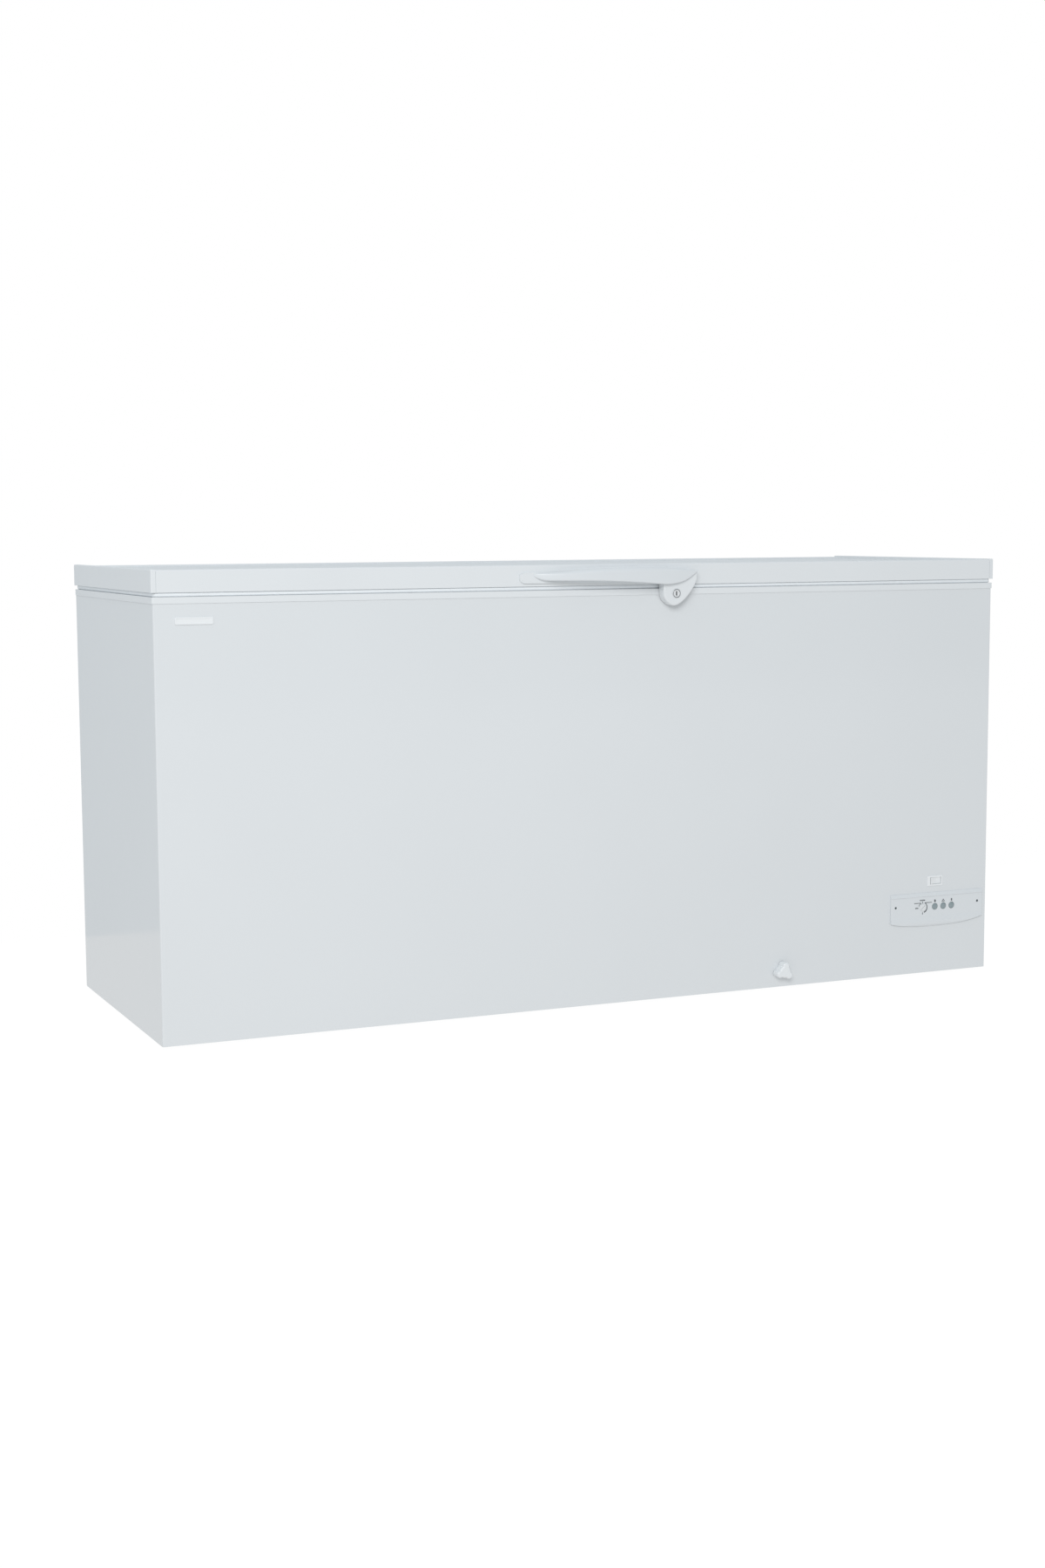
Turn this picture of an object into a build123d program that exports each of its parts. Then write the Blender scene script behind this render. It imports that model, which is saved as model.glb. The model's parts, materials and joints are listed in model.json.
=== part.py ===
"""Chest freezer with a full-width hinged lid, a locking bow handle and a side machine bay.

Millimetres, +Z up. Origin at the bottom centre, on the floor. +X runs along the cabinet, -Y is the front.
"""

import os
from math import cos, pi, sin

from build123d import *

os.makedirs("parts", exist_ok=True)

# ---------------------------------------------------------------- driving dimensions
BODY_WIDTH = 1820.0
BODY_DEPTH = 622.0
FRONT = -BODY_DEPTH / 2
BACK = BODY_DEPTH / 2
SIDE = BODY_WIDTH / 2
SHEET = 0.8

SHELL_BOTTOM = 8.0  # the feet hold the cabinet this far off the floor
SHELL_TOP = 833.0
PAN_TOP = 9.0
RIM_BOTTOM = 825.5
RIM_TOP = 837.5
RIM_PLATE = 2.5
RIM_OVERHANG = 1.5
LID_BOTTOM = 845.5
LID_PANEL_TOP = 882.0
LID_TOP = 888.0

LINER_X = 840.0  # outer faces of the liner
LINER_Y = 241.0
LINER_WALL = 1.0
LINER_FLOOR = 88.0
STEP_FLOOR = 370.0  # liner floor over the machine bay
STEP_X = 550.0
BAY_X = 600.0
BAY_TOP = 321.0
BAY_SHEET = 1.0

LID_X = 913.0
LID_Y = 313.0
TRIM_WALL = 3.0
SIDE_TRIM = 9.5
FRONT_LIP = 14.0
BOTTOM_LIP = 5.0
GASKET_X = 906.0
GASKET_Y = 307.0
GASKET_WIDTH = 20.0
GASKET_BOTTOM = 837.8
DISH_X, DISH_Y = 812.0, 216.0
DISH_BOTTOM = 822.0

HINGE_Y = 335.0
HINGE_Z = 845.0
HINGE_XS = (-600.0, 0.0, 600.0)
PIN_RADIUS = 4.0

LOCK_X, LOCK_Z = 143.6, 828.0
LOBE_FACE = -335.0
LOBE_REAR = -314.5
HANDLE_FRONT = -351.0

PANEL_X0, PANEL_X1 = 668.0, 898.0
PANEL_TOP = 180.5
KNOB_X, KNOB_Z = 747.4, 149.6
LAMP_XS = (778.5, 799.7, 820.5)
LAMP_Z = 149.9
LAMP_RADIUS = 7.2
LENS_RADIUS = 6.5
PANEL_SCREWS = ((680.2, 152.8), (886.4, 154.6))

SWITCH_X, SWITCH_Z = 781.0, 205.2
SWITCH_PIVOT_Y = -307.5
ROCKER_REST = 8  # degrees, with its right half pressed

DRAIN_X, DRAIN_Z = 403.0, 42.0
SPIGOT_RADIUS = 10.0
SPIGOT_END = -325.0
DRAIN_OUTLET_Y = -180.0
HOSE_RADIUS = 8.0

FOOT_XS = (-860.0, 0.0, 860.0)
FOOT_Y = 236.0

COMPRESSOR_X, COMPRESSOR_Y = 755.0, 130.0
TRAY_TOP = 31.0


# ---------------------------------------------------------------- small helpers
def block(x0, x1, y0, y1, z0, z1, mode=Mode.ADD):
    """A box between two corners, in the part being built."""
    with Locations(((x0 + x1) / 2, (y0 + y1) / 2, (z0 + z1) / 2)):
        Box(x1 - x0, y1 - y0, z1 - z0, mode=mode)


def rod_y(x, z, y0, y1, radius, mode=Mode.ADD):
    """A round bar along Y."""
    with Locations(Location((x, (y0 + y1) / 2, z), (90, 0, 0))):
        Cylinder(radius, y1 - y0, mode=mode)


def rod_x(y, z, x0, x1, radius, mode=Mode.ADD):
    """A round bar along X."""
    with Locations(Location(((x0 + x1) / 2, y, z), (0, 90, 0))):
        Cylinder(radius, x1 - x0, mode=mode)


def rod_z(x, y, z0, z1, radius, mode=Mode.ADD):
    """A round bar along Z."""
    with Locations((x, y, (z0 + z1) / 2)):
        Cylinder(radius, z1 - z0, mode=mode)


def front_plane(y):
    """Sketch plane facing the viewer: local x is +X, local y is +Z."""
    return Plane(origin=(0, y, 0), x_dir=(1, 0, 0), z_dir=(0, -1, 0))


def side_plane(x):
    """Sketch plane across the cabinet: local x is +Y, local y is +Z."""
    return Plane(origin=(x, 0, 0), x_dir=(0, 1, 0), z_dir=(1, 0, 0))


def wedge(side, reach):
    """A mitre prism that keeps one side of a rectangular frame, outside any block."""
    a, b = {
        "front": ((-1, -1), (1, -1)),
        "right": ((1, -1), (1, 1)),
        "rear": ((1, 1), (-1, 1)),
        "left": ((-1, 1), (-1, -1)),
    }[side]
    half_x, half_y = reach
    inset = half_x - half_y
    inner_a = (a[0] * inset, 0)
    inner_b = (b[0] * inset, 0)
    corners = [(a[0] * half_x, a[1] * half_y), (b[0] * half_x, b[1] * half_y)]
    corners += [p for p in (inner_b, inner_a) if p not in corners]
    if side in ("left", "right"):
        corners = corners[:3]
    with BuildPart() as prism:
        with BuildSketch():
            with BuildLine():
                Polyline(*corners, close=True)
            make_face()
        extrude(amount=1000)
    return prism.part


def frame_ring(outer, inner, z0, z1, outer_corner=0, inner_corner=0):
    """A rectangular ring between two half sizes, outside any block."""
    with BuildPart() as ring:
        with BuildSketch(Plane.XY.offset(z0)):
            Rectangle(2 * outer[0], 2 * outer[1])
            if outer_corner:
                fillet(vertices(), outer_corner)
            with BuildSketch(mode=Mode.PRIVATE) as hole:
                Rectangle(2 * inner[0], 2 * inner[1])
                if inner_corner:
                    fillet(hole.vertices(), inner_corner)
            add(hole.sketch, mode=Mode.SUBTRACT)
        extrude(amount=z1 - z0)
    return ring.part


def serpentine(half_x, half_y, levels, corner):
    """One continuous line over the front, right and rear of a rectangle, back and forth level by level."""
    edges = []
    here, heading = Vector(-half_x + corner, -half_y, levels[0]), Vector(1, 0, 0)

    def run(length):
        nonlocal here
        edges.append(Edge.make_line(here, here + heading * length))
        here = here + heading * length

    def turn(towards):
        nonlocal here, heading
        middle = here + heading * (corner * sin(pi / 4)) + towards * (corner * (1 - cos(pi / 4)))
        end = here + (heading + towards) * corner
        edges.append(Edge.make_three_point_arc(here, middle, end))
        here, heading = end, towards

    right, back, up = Vector(1, 0, 0), Vector(0, 1, 0), Vector(0, 0, 1)
    long_run, short_run = 2 * half_x - 3 * corner, 2 * half_y - 2 * corner
    for i, z in enumerate(levels):
        outward = i % 2 == 0
        run(long_run + corner if i == 0 else long_run)
        turn(back if outward else back * -1)
        run(short_run)
        turn(right * -1)
        if i == len(levels) - 1:
            run(long_run)
            break
        run(long_run)
        turn(up)
        run(levels[i + 1] - z - 2 * corner)
        turn(right)
    return Wire(edges)


def tube(path, radius):
    """A round bar swept along a line, outside any block."""
    with BuildPart() as bar:
        with BuildSketch(Plane(origin=path @ 0, z_dir=path % 0)):
            Circle(radius)
        sweep(path=path, transition=Transition.ROUND)
    return bar.part


# ---------------------------------------------------------------- cabinet shell
HINGE_SCREW_OFFSETS = ((-30, 770), (30, 770), (-30, 812), (30, 812))
LID_SCREW_OFFSETS = ((-30, 856), (30, 856), (-30, 876), (30, 876))
COVER_SCREWS = [(x, z) for x in (612, 750, 889) for z in (20, 312)]

with BuildPart() as wrap_shell:
    with BuildSketch(Plane.XY.offset(SHELL_BOTTOM)):
        with BuildSketch(mode=Mode.PRIVATE) as outline:
            Rectangle(BODY_WIDTH, BODY_DEPTH)
            fillet(outline.vertices().group_by(Axis.Y)[0], 3)
        with BuildSketch(mode=Mode.PRIVATE) as inside:
            Rectangle(BODY_WIDTH - 2 * SHEET, BODY_DEPTH - 2 * SHEET)
            fillet(inside.vertices().group_by(Axis.Y)[0], 3 - SHEET)
        add(outline.sketch)
        add(inside.sketch, mode=Mode.SUBTRACT)
        with Locations((0, BACK)):
            Rectangle(BODY_WIDTH - 28, 10, mode=Mode.SUBTRACT)
    extrude(amount=SHELL_TOP - SHELL_BOTTOM)
    # control panel, rocker switch and drain openings in the front
    block(676, 892, FRONT - 2, FRONT + 2, 128, 170, mode=Mode.SUBTRACT)
    block(765.5, 796.5, FRONT - 2, FRONT + 2, 196.7, 213.7, mode=Mode.SUBTRACT)
    rod_y(DRAIN_X, DRAIN_Z, FRONT - 2, FRONT + 2, SPIGOT_RADIUS + 0.5, mode=Mode.SUBTRACT)
    # air opening of the machine bay in the right side
    block(SIDE - 2, SIDE + 2, -92, 152, 58, 262, mode=Mode.SUBTRACT)
wrap_shell.part.label = "wrap_shell"
export_step(wrap_shell.part, "parts/wrap_shell.step")

with BuildPart() as back_panel:
    block(-908, 908, BACK - 2 * SHEET, BACK - SHEET, PAN_TOP, SHELL_TOP)
    # machine bay opening, closed by the rear cover
    block(618, 892, BACK - 3, BACK, 24, 306, mode=Mode.SUBTRACT)
    # long stiffening ribs pressed into the sheet
    for z in (420, 560, 700):
        rod_x(BACK - SHEET, z, -800, 800, 0.75)
    for hinge_x in HINGE_XS:
        for dx, z in HINGE_SCREW_OFFSETS:
            rod_y(hinge_x + dx, z, BACK - 3, BACK, 2.25, mode=Mode.SUBTRACT)
    for x, z in COVER_SCREWS:
        rod_y(x, z, BACK - 3, BACK, 2, mode=Mode.SUBTRACT)
back_panel.part.label = "back_panel"
export_step(back_panel.part, "parts/back_panel.step")

with BuildPart() as base_pan:
    block(-909.1, 909.1, FRONT + SHEET + 0.1, BACK - 2 * SHEET, SHELL_BOTTOM, PAN_TOP)
    fillet(base_pan.edges().filter_by(Axis.Z).group_by(Axis.Y)[0], 2.2)
    # cooling slots under the machine bay
    with Locations(*[(755 + dx, -120, 8.5) for dx in range(-110, 111, 20)]):
        Box(8, 120, 4, mode=Mode.SUBTRACT)
    for x in FOOT_XS:
        for y in (-FOOT_Y, FOOT_Y):
            rod_z(x, y, 7, 10, 4, mode=Mode.SUBTRACT)
base_pan.part.label = "base_pan"
export_step(base_pan.part, "parts/base_pan.step")

with BuildPart() as feet:
    for x in FOOT_XS:
        for y in (-FOOT_Y, FOOT_Y):
            rod_z(x, y, 0, SHELL_BOTTOM, 20)
            rod_z(x, y, SHELL_BOTTOM, 15, 4)
    fillet(feet.edges().group_by(Axis.Z)[0], 2.5)
feet.part.label = "feet"
export_step(feet.part, "parts/feet.step")


# ---------------------------------------------------------------- liner and insulation
def liner_body(inset, top):
    """The liner's stepped tub as a filled solid, inset evenly, outside any block."""
    with BuildPart() as tub:
        with BuildSketch(front_plane(0)):
            with BuildLine():
                Polyline(
                    (-LINER_X + inset, LINER_FLOOR + inset),
                    (STEP_X - inset, LINER_FLOOR + inset),
                    (STEP_X - inset, STEP_FLOOR + inset),
                    (LINER_X - inset, STEP_FLOOR + inset),
                    (LINER_X - inset, top),
                    (-LINER_X + inset, top),
                    close=True,
                )
            make_face()
        extrude(amount=LINER_Y - inset, both=True)
        uprights = tub.edges().filter_by(Axis.Z)
        fillet(uprights, 18 - inset)
        floors = tub.edges().filter_by(lambda e: e.center().Z < STEP_FLOOR + inset + 1)
        fillet(floors.filter_by(lambda e: abs(e.center().Z - LINER_FLOOR - inset) < 0.01), 10 - inset)
    return tub.part


liner_outer = liner_body(0, SHELL_TOP)
liner_inner = liner_body(LINER_WALL, SHELL_TOP + 5)

with BuildPart() as inner_liner:
    add(liner_outer)
    add(liner_inner, mode=Mode.SUBTRACT)
    rod_z(DRAIN_X, DRAIN_OUTLET_Y, LINER_FLOOR - 5, LINER_FLOOR + 5, HOSE_RADIUS, mode=Mode.SUBTRACT)
inner_liner.part.label = "inner_liner"
export_step(inner_liner.part, "parts/inner_liner.step")

with BuildLine(side_plane(DRAIN_X)) as hose_line:
    FilletPolyline(
        (-290, DRAIN_Z), (DRAIN_OUTLET_Y, DRAIN_Z), (DRAIN_OUTLET_Y, LINER_FLOOR + LINER_WALL), radius=25
    )
hose_path = hose_line.wire()

with BuildPart() as foam_insulation:
    with BuildSketch(Plane.XY.offset(PAN_TOP)):
        with Locations((0, (FRONT + SHEET + BACK - 2 * SHEET) / 2)):
            Rectangle(BODY_WIDTH - 2 * SHEET, BODY_DEPTH - 3 * SHEET)
        fillet(vertices().group_by(Axis.Y)[0], 3 - SHEET)
    extrude(amount=RIM_TOP - RIM_PLATE - PAN_TOP)
    add(liner_outer, mode=Mode.SUBTRACT)
    block(-LINER_X, LINER_X, -LINER_Y, LINER_Y, SHELL_TOP - 1, SHELL_TOP + 5, mode=Mode.SUBTRACT)
    block(BAY_X - BAY_SHEET, SIDE, FRONT, BACK, PAN_TOP - 1, BAY_TOP, mode=Mode.SUBTRACT)
    add(tube(hose_path, HOSE_RADIUS), mode=Mode.SUBTRACT)
    rod_y(DRAIN_X, DRAIN_Z, FRONT, -289.9, SPIGOT_RADIUS + 2, mode=Mode.SUBTRACT)
    for x in FOOT_XS:
        for y in (-FOOT_Y, FOOT_Y):
            rod_z(x, y, 8, 15, 4, mode=Mode.SUBTRACT)
    for hinge_x in HINGE_XS:
        for dx, z in HINGE_SCREW_OFFSETS:
            rod_y(hinge_x + dx, z, 296, BACK, 2.25, mode=Mode.SUBTRACT)
foam_insulation.part.label = "foam_insulation"
export_step(foam_insulation.part, "parts/foam_insulation.step")

# ---------------------------------------------------------------- top rim of the cabinet, four mitred rails
RIM_REACH = (SIDE + RIM_OVERHANG, BACK + RIM_OVERHANG)
RIM_HOLE = (LINER_X - 3.5, LINER_Y - 3.5)
rim_profile = (
    frame_ring(RIM_REACH, RIM_HOLE, RIM_TOP - RIM_PLATE, RIM_TOP, outer_corner=3.5, inner_corner=14.5)
    + frame_ring(RIM_REACH, (SIDE, BACK), RIM_BOTTOM, RIM_TOP, outer_corner=3.5)
    + frame_ring(
        (LINER_X - LINER_WALL, LINER_Y - LINER_WALL), RIM_HOLE, 812, RIM_TOP,
        outer_corner=17, inner_corner=14.5,
    )
)

with BuildPart() as rim_front:
    add(rim_profile)
    add(wedge("front", RIM_REACH), mode=Mode.INTERSECT)
rim_front.part.label = "rim_front"
export_step(rim_front.part, "parts/rim_front.step")

with BuildPart() as rim_rear:
    add(rim_profile)
    add(wedge("rear", RIM_REACH), mode=Mode.INTERSECT)
rim_rear.part.label = "rim_rear"
export_step(rim_rear.part, "parts/rim_rear.step")

with BuildPart() as rim_left:
    add(rim_profile)
    add(wedge("left", RIM_REACH), mode=Mode.INTERSECT)
rim_left.part.label = "rim_left"
export_step(rim_left.part, "parts/rim_left.step")

with BuildPart() as rim_right:
    add(rim_profile)
    add(wedge("right", RIM_REACH), mode=Mode.INTERSECT)
rim_right.part.label = "rim_right"
export_step(rim_right.part, "parts/rim_right.step")

# ---------------------------------------------------------------- refrigeration circuit
with BuildPart() as evaporator_coil:
    add(tube(serpentine(LINER_X + 4.3, LINER_Y + 4.3, (430, 510, 590, 670, 750), 22.3), 4))
evaporator_coil.part.label = "evaporator_coil"
export_step(evaporator_coil.part, "parts/evaporator_coil.step")

with BuildPart() as condenser_coil:
    add(tube(serpentine(SIDE - SHEET - 3.2, BACK - 2 * SHEET - 3.2, (400, 500, 600, 700, 790), 16), 3))
condenser_coil.part.label = "condenser_coil"
export_step(condenser_coil.part, "parts/condenser_coil.step")

with BuildPart() as bay_bulkhead:
    block(BAY_X - BAY_SHEET, BAY_X, FRONT + SHEET, BACK - 2 * SHEET, PAN_TOP, BAY_TOP)
    block(BAY_X - BAY_SHEET, SIDE - SHEET, FRONT + SHEET, BACK - 2 * SHEET, BAY_TOP - BAY_SHEET, BAY_TOP)
    fillet(bay_bulkhead.edges().filter_by(Axis.Z).sort_by(Axis.X)[-2:].sort_by(Axis.Y)[0], 3 - SHEET)
bay_bulkhead.part.label = "bay_bulkhead"
export_step(bay_bulkhead.part, "parts/bay_bulkhead.step")

with BuildPart() as compressor_tray:
    with BuildSketch(front_plane(-10)):
        with BuildLine():
            Polyline(
                (606, PAN_TOP), (626, PAN_TOP), (626, TRAY_TOP - 2), (884, TRAY_TOP - 2), (884, PAN_TOP),
                (904, PAN_TOP), (904, PAN_TOP + 2), (886, PAN_TOP + 2), (886, TRAY_TOP), (624, TRAY_TOP),
                (624, PAN_TOP + 2), (606, PAN_TOP + 2), close=True,
            )
        make_face()
    extrude(amount=-300)
    with Locations(*[(COMPRESSOR_X, COMPRESSOR_Y + dy, TRAY_TOP) for dy in (-100, -60, 60, 100)]):
        Box(120, 14, 10, mode=Mode.SUBTRACT)
compressor_tray.part.label = "compressor_tray"
export_step(compressor_tray.part, "parts/compressor_tray.step")

MOUNT_SPOTS = [(COMPRESSOR_X + sx * 82, COMPRESSOR_Y + sy * 50) for sx in (-1, 1) for sy in (-1, 1)]

with BuildPart() as compressor_grommets:
    for x, y in MOUNT_SPOTS:
        rod_z(x, y, TRAY_TOP, TRAY_TOP + 5, 12)
        rod_z(x, y, TRAY_TOP + 5, TRAY_TOP + 11, 8.5)
        rod_z(x, y, TRAY_TOP + 11, TRAY_TOP + 16, 12)
        rod_z(x, y, TRAY_TOP, TRAY_TOP + 16, 3.5, mode=Mode.SUBTRACT)
compressor_grommets.part.label = "compressor_grommets"
export_step(compressor_grommets.part, "parts/compressor_grommets.step")

with BuildPart() as compressor_bolts:
    for x, y in MOUNT_SPOTS:
        rod_z(x, y, TRAY_TOP, TRAY_TOP + 16, 3.5)
        with Locations((x, y, TRAY_TOP + 16)):
            with BuildSketch(Plane(origin=(x, y, TRAY_TOP + 16))):
                RegularPolygon(6, 6)
        extrude(amount=5)
compressor_bolts.part.label = "compressor_bolts"
export_step(compressor_bolts.part, "parts/compressor_bolts.step")

with BuildPart() as compressor_shell:
    # stamped feet, clamped between the two flanges of the grommets
    with BuildSketch(Plane.XY.offset(TRAY_TOP + 5)):
        with Locations((COMPRESSOR_X, COMPRESSOR_Y)):
            RectangleRounded(196, 130, 16)
        with Locations(*MOUNT_SPOTS):
            Circle(8.5, mode=Mode.SUBTRACT)
    extrude(amount=6)
    # drawn can in two halves with a weld seam between them
    for z, half_x, half_y in ((TRAY_TOP + 11, 66, 80), (TRAY_TOP + 101, 71, 85)):
        with BuildSketch(Plane.XY.offset(z)):
            with Locations((COMPRESSOR_X, COMPRESSOR_Y)):
                Ellipse(half_x, half_y)
    loft()
    with BuildSketch(Plane.XY.offset(TRAY_TOP + 101)):
        with Locations((COMPRESSOR_X, COMPRESSOR_Y)):
            Ellipse(75, 89)
    extrude(amount=7)
    with BuildSketch(Plane.XY.offset(TRAY_TOP + 108)):
        with Locations((COMPRESSOR_X, COMPRESSOR_Y)):
            Ellipse(70, 84)
    extrude(amount=70)
    fillet(compressor_shell.edges().group_by(Axis.Z)[-1], 26)
compressor_shell.part.label = "compressor_shell"
export_step(compressor_shell.part, "parts/compressor_shell.step")

with BuildPart() as terminal_cover:
    with BuildSketch(front_plane(COMPRESSOR_Y - 78)):
        with Locations((COMPRESSOR_X, TRAY_TOP + 60)):
            RectangleRounded(64, 74, 8)
    extrude(amount=44)
    fillet(terminal_cover.faces().sort_by(Axis.Y)[0].edges(), 4)
    add(compressor_shell.part, mode=Mode.SUBTRACT)
terminal_cover.part.label = "terminal_cover"
export_step(terminal_cover.part, "parts/terminal_cover.step")

with BuildPart() as filter_drier:
    with BuildSketch(Plane.XZ.offset(-60)):
        with BuildLine():
            Polyline(
                (640, 90), (643, 90), (650, 100), (650, 190), (643, 200), (640, 200), close=True
            )
        make_face()
    revolve(axis=Axis((640, 60, 0), (0, 0, 1)))
filter_drier.part.label = "filter_drier"
export_step(filter_drier.part, "parts/filter_drier.step")

suction_path = FilletPolyline((700, 130, 150), (660, 130, 150), (660, 130, 270), (601, 130, 270), radius=16)
discharge_path = FilletPolyline((812, 130, 150), (862, 130, 150), (862, 130, 319), radius=16)

with BuildPart() as suction_line:
    add(tube(suction_path, 4))
    add(compressor_shell.part, mode=Mode.SUBTRACT)
suction_line.part.label = "suction_line"
export_step(suction_line.part, "parts/suction_line.step")

with BuildPart() as discharge_line:
    add(tube(discharge_path, 3))
    add(compressor_shell.part, mode=Mode.SUBTRACT)
discharge_line.part.label = "discharge_line"
export_step(discharge_line.part, "parts/discharge_line.step")

with BuildPart() as capillary_tube:
    capillary_ring = Helix(pitch=5, height=30, radius=18, center=(640, 60, 215))
    with BuildSketch(Plane(origin=capillary_ring @ 0, z_dir=capillary_ring % 0)):
        Circle(1.5)
    sweep(path=capillary_ring)
capillary_tube.part.label = "capillary_tube"
export_step(capillary_tube.part, "parts/capillary_tube.step")

with BuildPart() as rear_cover:
    with BuildSketch(front_plane(BACK + 1.0)):
        with Locations((750.5, 166)):
            RectangleRounded(289, 308, 6)
    extrude(amount=1.8)
    # rows of pressed louvres
    for column in (690, 800):
        for row in range(8):
            z = 60 + row * 26
            block(column - 40, column + 40, BACK - 2, BACK + 2, z, z + 6, mode=Mode.SUBTRACT)
            with BuildSketch(side_plane(column - 40)):
                with BuildLine():
                    Polyline(
                        (BACK + 1, z + 14), (BACK + 7, z), (BACK + 7, z - 1.2), (BACK + 1, z + 11), close=True
                    )
                make_face()
            extrude(amount=80)
    rod_y(872, 282, BACK - 2, BACK + 2, 8, mode=Mode.SUBTRACT)
    for x, z in COVER_SCREWS:
        rod_y(x, z, BACK - 2, BACK + 2, 2, mode=Mode.SUBTRACT)
rear_cover.part.label = "rear_cover"
export_step(rear_cover.part, "parts/rear_cover.step")

with BuildPart() as rear_cover_screws:
    for x, z in COVER_SCREWS:
        rod_y(x, z, BACK - 10, BACK + 1, 2)
        rod_y(x, z, BACK + 1, BACK + 3.2, 4)
rear_cover_screws.part.label = "rear_cover_screws"
export_step(rear_cover_screws.part, "parts/rear_cover_screws.step")

with BuildPart() as cord_gland:
    rod_y(872, 282, BACK - 9, BACK - 0.8, 11)
    rod_y(872, 282, BACK - 0.8, BACK + 1, 8)
    rod_y(872, 282, BACK + 1, BACK + 6, 11)
    rod_y(872, 282, BACK + 6, BACK + 20, 6.5)
    rod_y(872, 282, BACK - 12, BACK + 22, 4, mode=Mode.SUBTRACT)
cord_gland.part.label = "cord_gland"
export_step(cord_gland.part, "parts/cord_gland.step")

with BuildPart() as side_grille:
    block(SIDE, SIDE + 2, -104, 164, 46, 274)
    block(SIDE - 6, SIDE, -92, 152, 58, 262)
    fillet(side_grille.edges().filter_by(Axis.X).group_by(Axis.Z)[-1], 8)
    block(SIDE - 7, SIDE, -89, 149, 61, 259, mode=Mode.SUBTRACT)
    for row in range(9):
        z = 70 + row * 20.5
        block(SIDE - 2, SIDE + 3, -84, 144, z, z + 10, mode=Mode.SUBTRACT)
side_grille.part.label = "side_grille"
export_step(side_grille.part, "parts/side_grille.step")


# ---------------------------------------------------------------- control panel and switch
with BuildSketch() as panel_outline:
    # straight top and ends, bowed bottom edge
    with BuildLine():
        Line((PANEL_X0, PANEL_TOP), (PANEL_X0, 119))
        Spline(
            (PANEL_X0, 119), (710, 112), (756, 109), (827, 111), (PANEL_X1, 123),
            tangents=((0.95, -0.3), (0.96, 0.26)),
        )
        Line((PANEL_X1, 123), (PANEL_X1, PANEL_TOP))
        Line((PANEL_X1, PANEL_TOP), (PANEL_X0, PANEL_TOP))
    make_face()


with BuildPart() as control_panel:
    with BuildSketch(front_plane(FRONT)):
        add(panel_outline.sketch)
    extrude(amount=8)
    # section: a bevel band along the top, a flat field, and a swelling lower lip
    with BuildSketch(side_plane(PANEL_X0 - 5)):
        with BuildLine():
            Polyline((FRONT - 1.5, PANEL_TOP), (FRONT - 4.8, 173.6), (FRONT - 4.8, 173), (FRONT - 3.1, 171.6),
                     (FRONT - 3, 131), (FRONT - 5.0, 120))
            Spline((FRONT - 5.0, 120), (FRONT - 4.2, 112), (FRONT - 1.2, 108), tangents=((0, -1), (1, -0.6)))
            Polyline((FRONT - 1.2, 108), (FRONT + 1, 107), (FRONT + 1, PANEL_TOP), (FRONT - 1.5, PANEL_TOP))
        make_face()
    extrude(amount=PANEL_X1 - PANEL_X0 + 10, mode=Mode.INTERSECT)
    fillet(control_panel.edges().filter_by(Axis.Y), 0.8)
    # locating skirt behind, through the opening of the wrap
    block(680, 888, FRONT, FRONT + 9, 130, 168)
    block(682.5, 885.5, FRONT, FRONT + 10, 132.5, 165.5, mode=Mode.SUBTRACT)
    for x, z in PANEL_SCREWS:
        rod_y(x, z, FRONT - 0.1, FRONT + 9, 4)
        rod_y(x, z, FRONT - 7, FRONT + 10, 1.75, mode=Mode.SUBTRACT)
        rod_y(x, z, FRONT - 7, FRONT - 1.6, 2.7, mode=Mode.SUBTRACT)
    for x in LAMP_XS:
        rod_y(x, LAMP_Z, FRONT - 7, FRONT + 2, LAMP_RADIUS, mode=Mode.SUBTRACT)
    rod_y(KNOB_X, KNOB_Z, FRONT - 7, FRONT + 2, 7.8, mode=Mode.SUBTRACT)
control_panel.part.label = "control_panel"
export_step(control_panel.part, "parts/control_panel.step")

with BuildPart() as panel_screws:
    for x, z in PANEL_SCREWS:
        rod_y(x, z, FRONT - 2.6, FRONT - 1.6, 2.5)
        rod_y(x, z, FRONT - 1.6, FRONT + 12, 1.75)
        for angle in (20, 110):
            with Locations(Location((x, FRONT - 2.6, z), (0, angle, 0))):
                Box(3.4, 1.4, 0.7, mode=Mode.SUBTRACT)
panel_screws.part.label = "panel_screws"
export_step(panel_screws.part, "parts/panel_screws.step")

with BuildPart() as pilot_lamps:
    for x in LAMP_XS:
        with BuildSketch(side_plane(x)):
            with BuildLine():
                Line((FRONT + 14, LAMP_Z), (FRONT - 4, LAMP_Z))
                ThreePointArc(
                    (FRONT - 4, LAMP_Z), (FRONT - 3.75, LAMP_Z + 3.4), (FRONT - 3, LAMP_Z + LENS_RADIUS)
                )
                Polyline(
                    (FRONT - 3, LAMP_Z + LENS_RADIUS), (FRONT, LAMP_Z + LENS_RADIUS), (FRONT, LAMP_Z + 8),
                    (FRONT + 2, LAMP_Z + 8), (FRONT + 2, LAMP_Z + 5), (FRONT + 14, LAMP_Z + 5),
                    (FRONT + 14, LAMP_Z),
                )
            make_face()
        revolve(axis=Axis((x, 0, LAMP_Z), (0, 1, 0)))
pilot_lamps.part.label = "pilot_lamps"
export_step(pilot_lamps.part, "parts/pilot_lamps.step")

with BuildPart() as thermostat_body:
    block(KNOB_X - 22, KNOB_X + 22, FRONT + 16, FRONT + 52, 127, 173)
    fillet(thermostat_body.edges().filter_by(Axis.Y), 4)
    rod_y(KNOB_X, KNOB_Z, FRONT + 12, FRONT + 16, 5)
    rod_y(KNOB_X, KNOB_Z, FRONT + 10, FRONT + 40, 3.08, mode=Mode.SUBTRACT)
    # the bracket that carries it behind the panel
    block(718, 782, FRONT + 52, FRONT + 53.5, 126, 190)
thermostat_body.part.label = "thermostat_body"
export_step(thermostat_body.part, "parts/thermostat_body.step")

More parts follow.
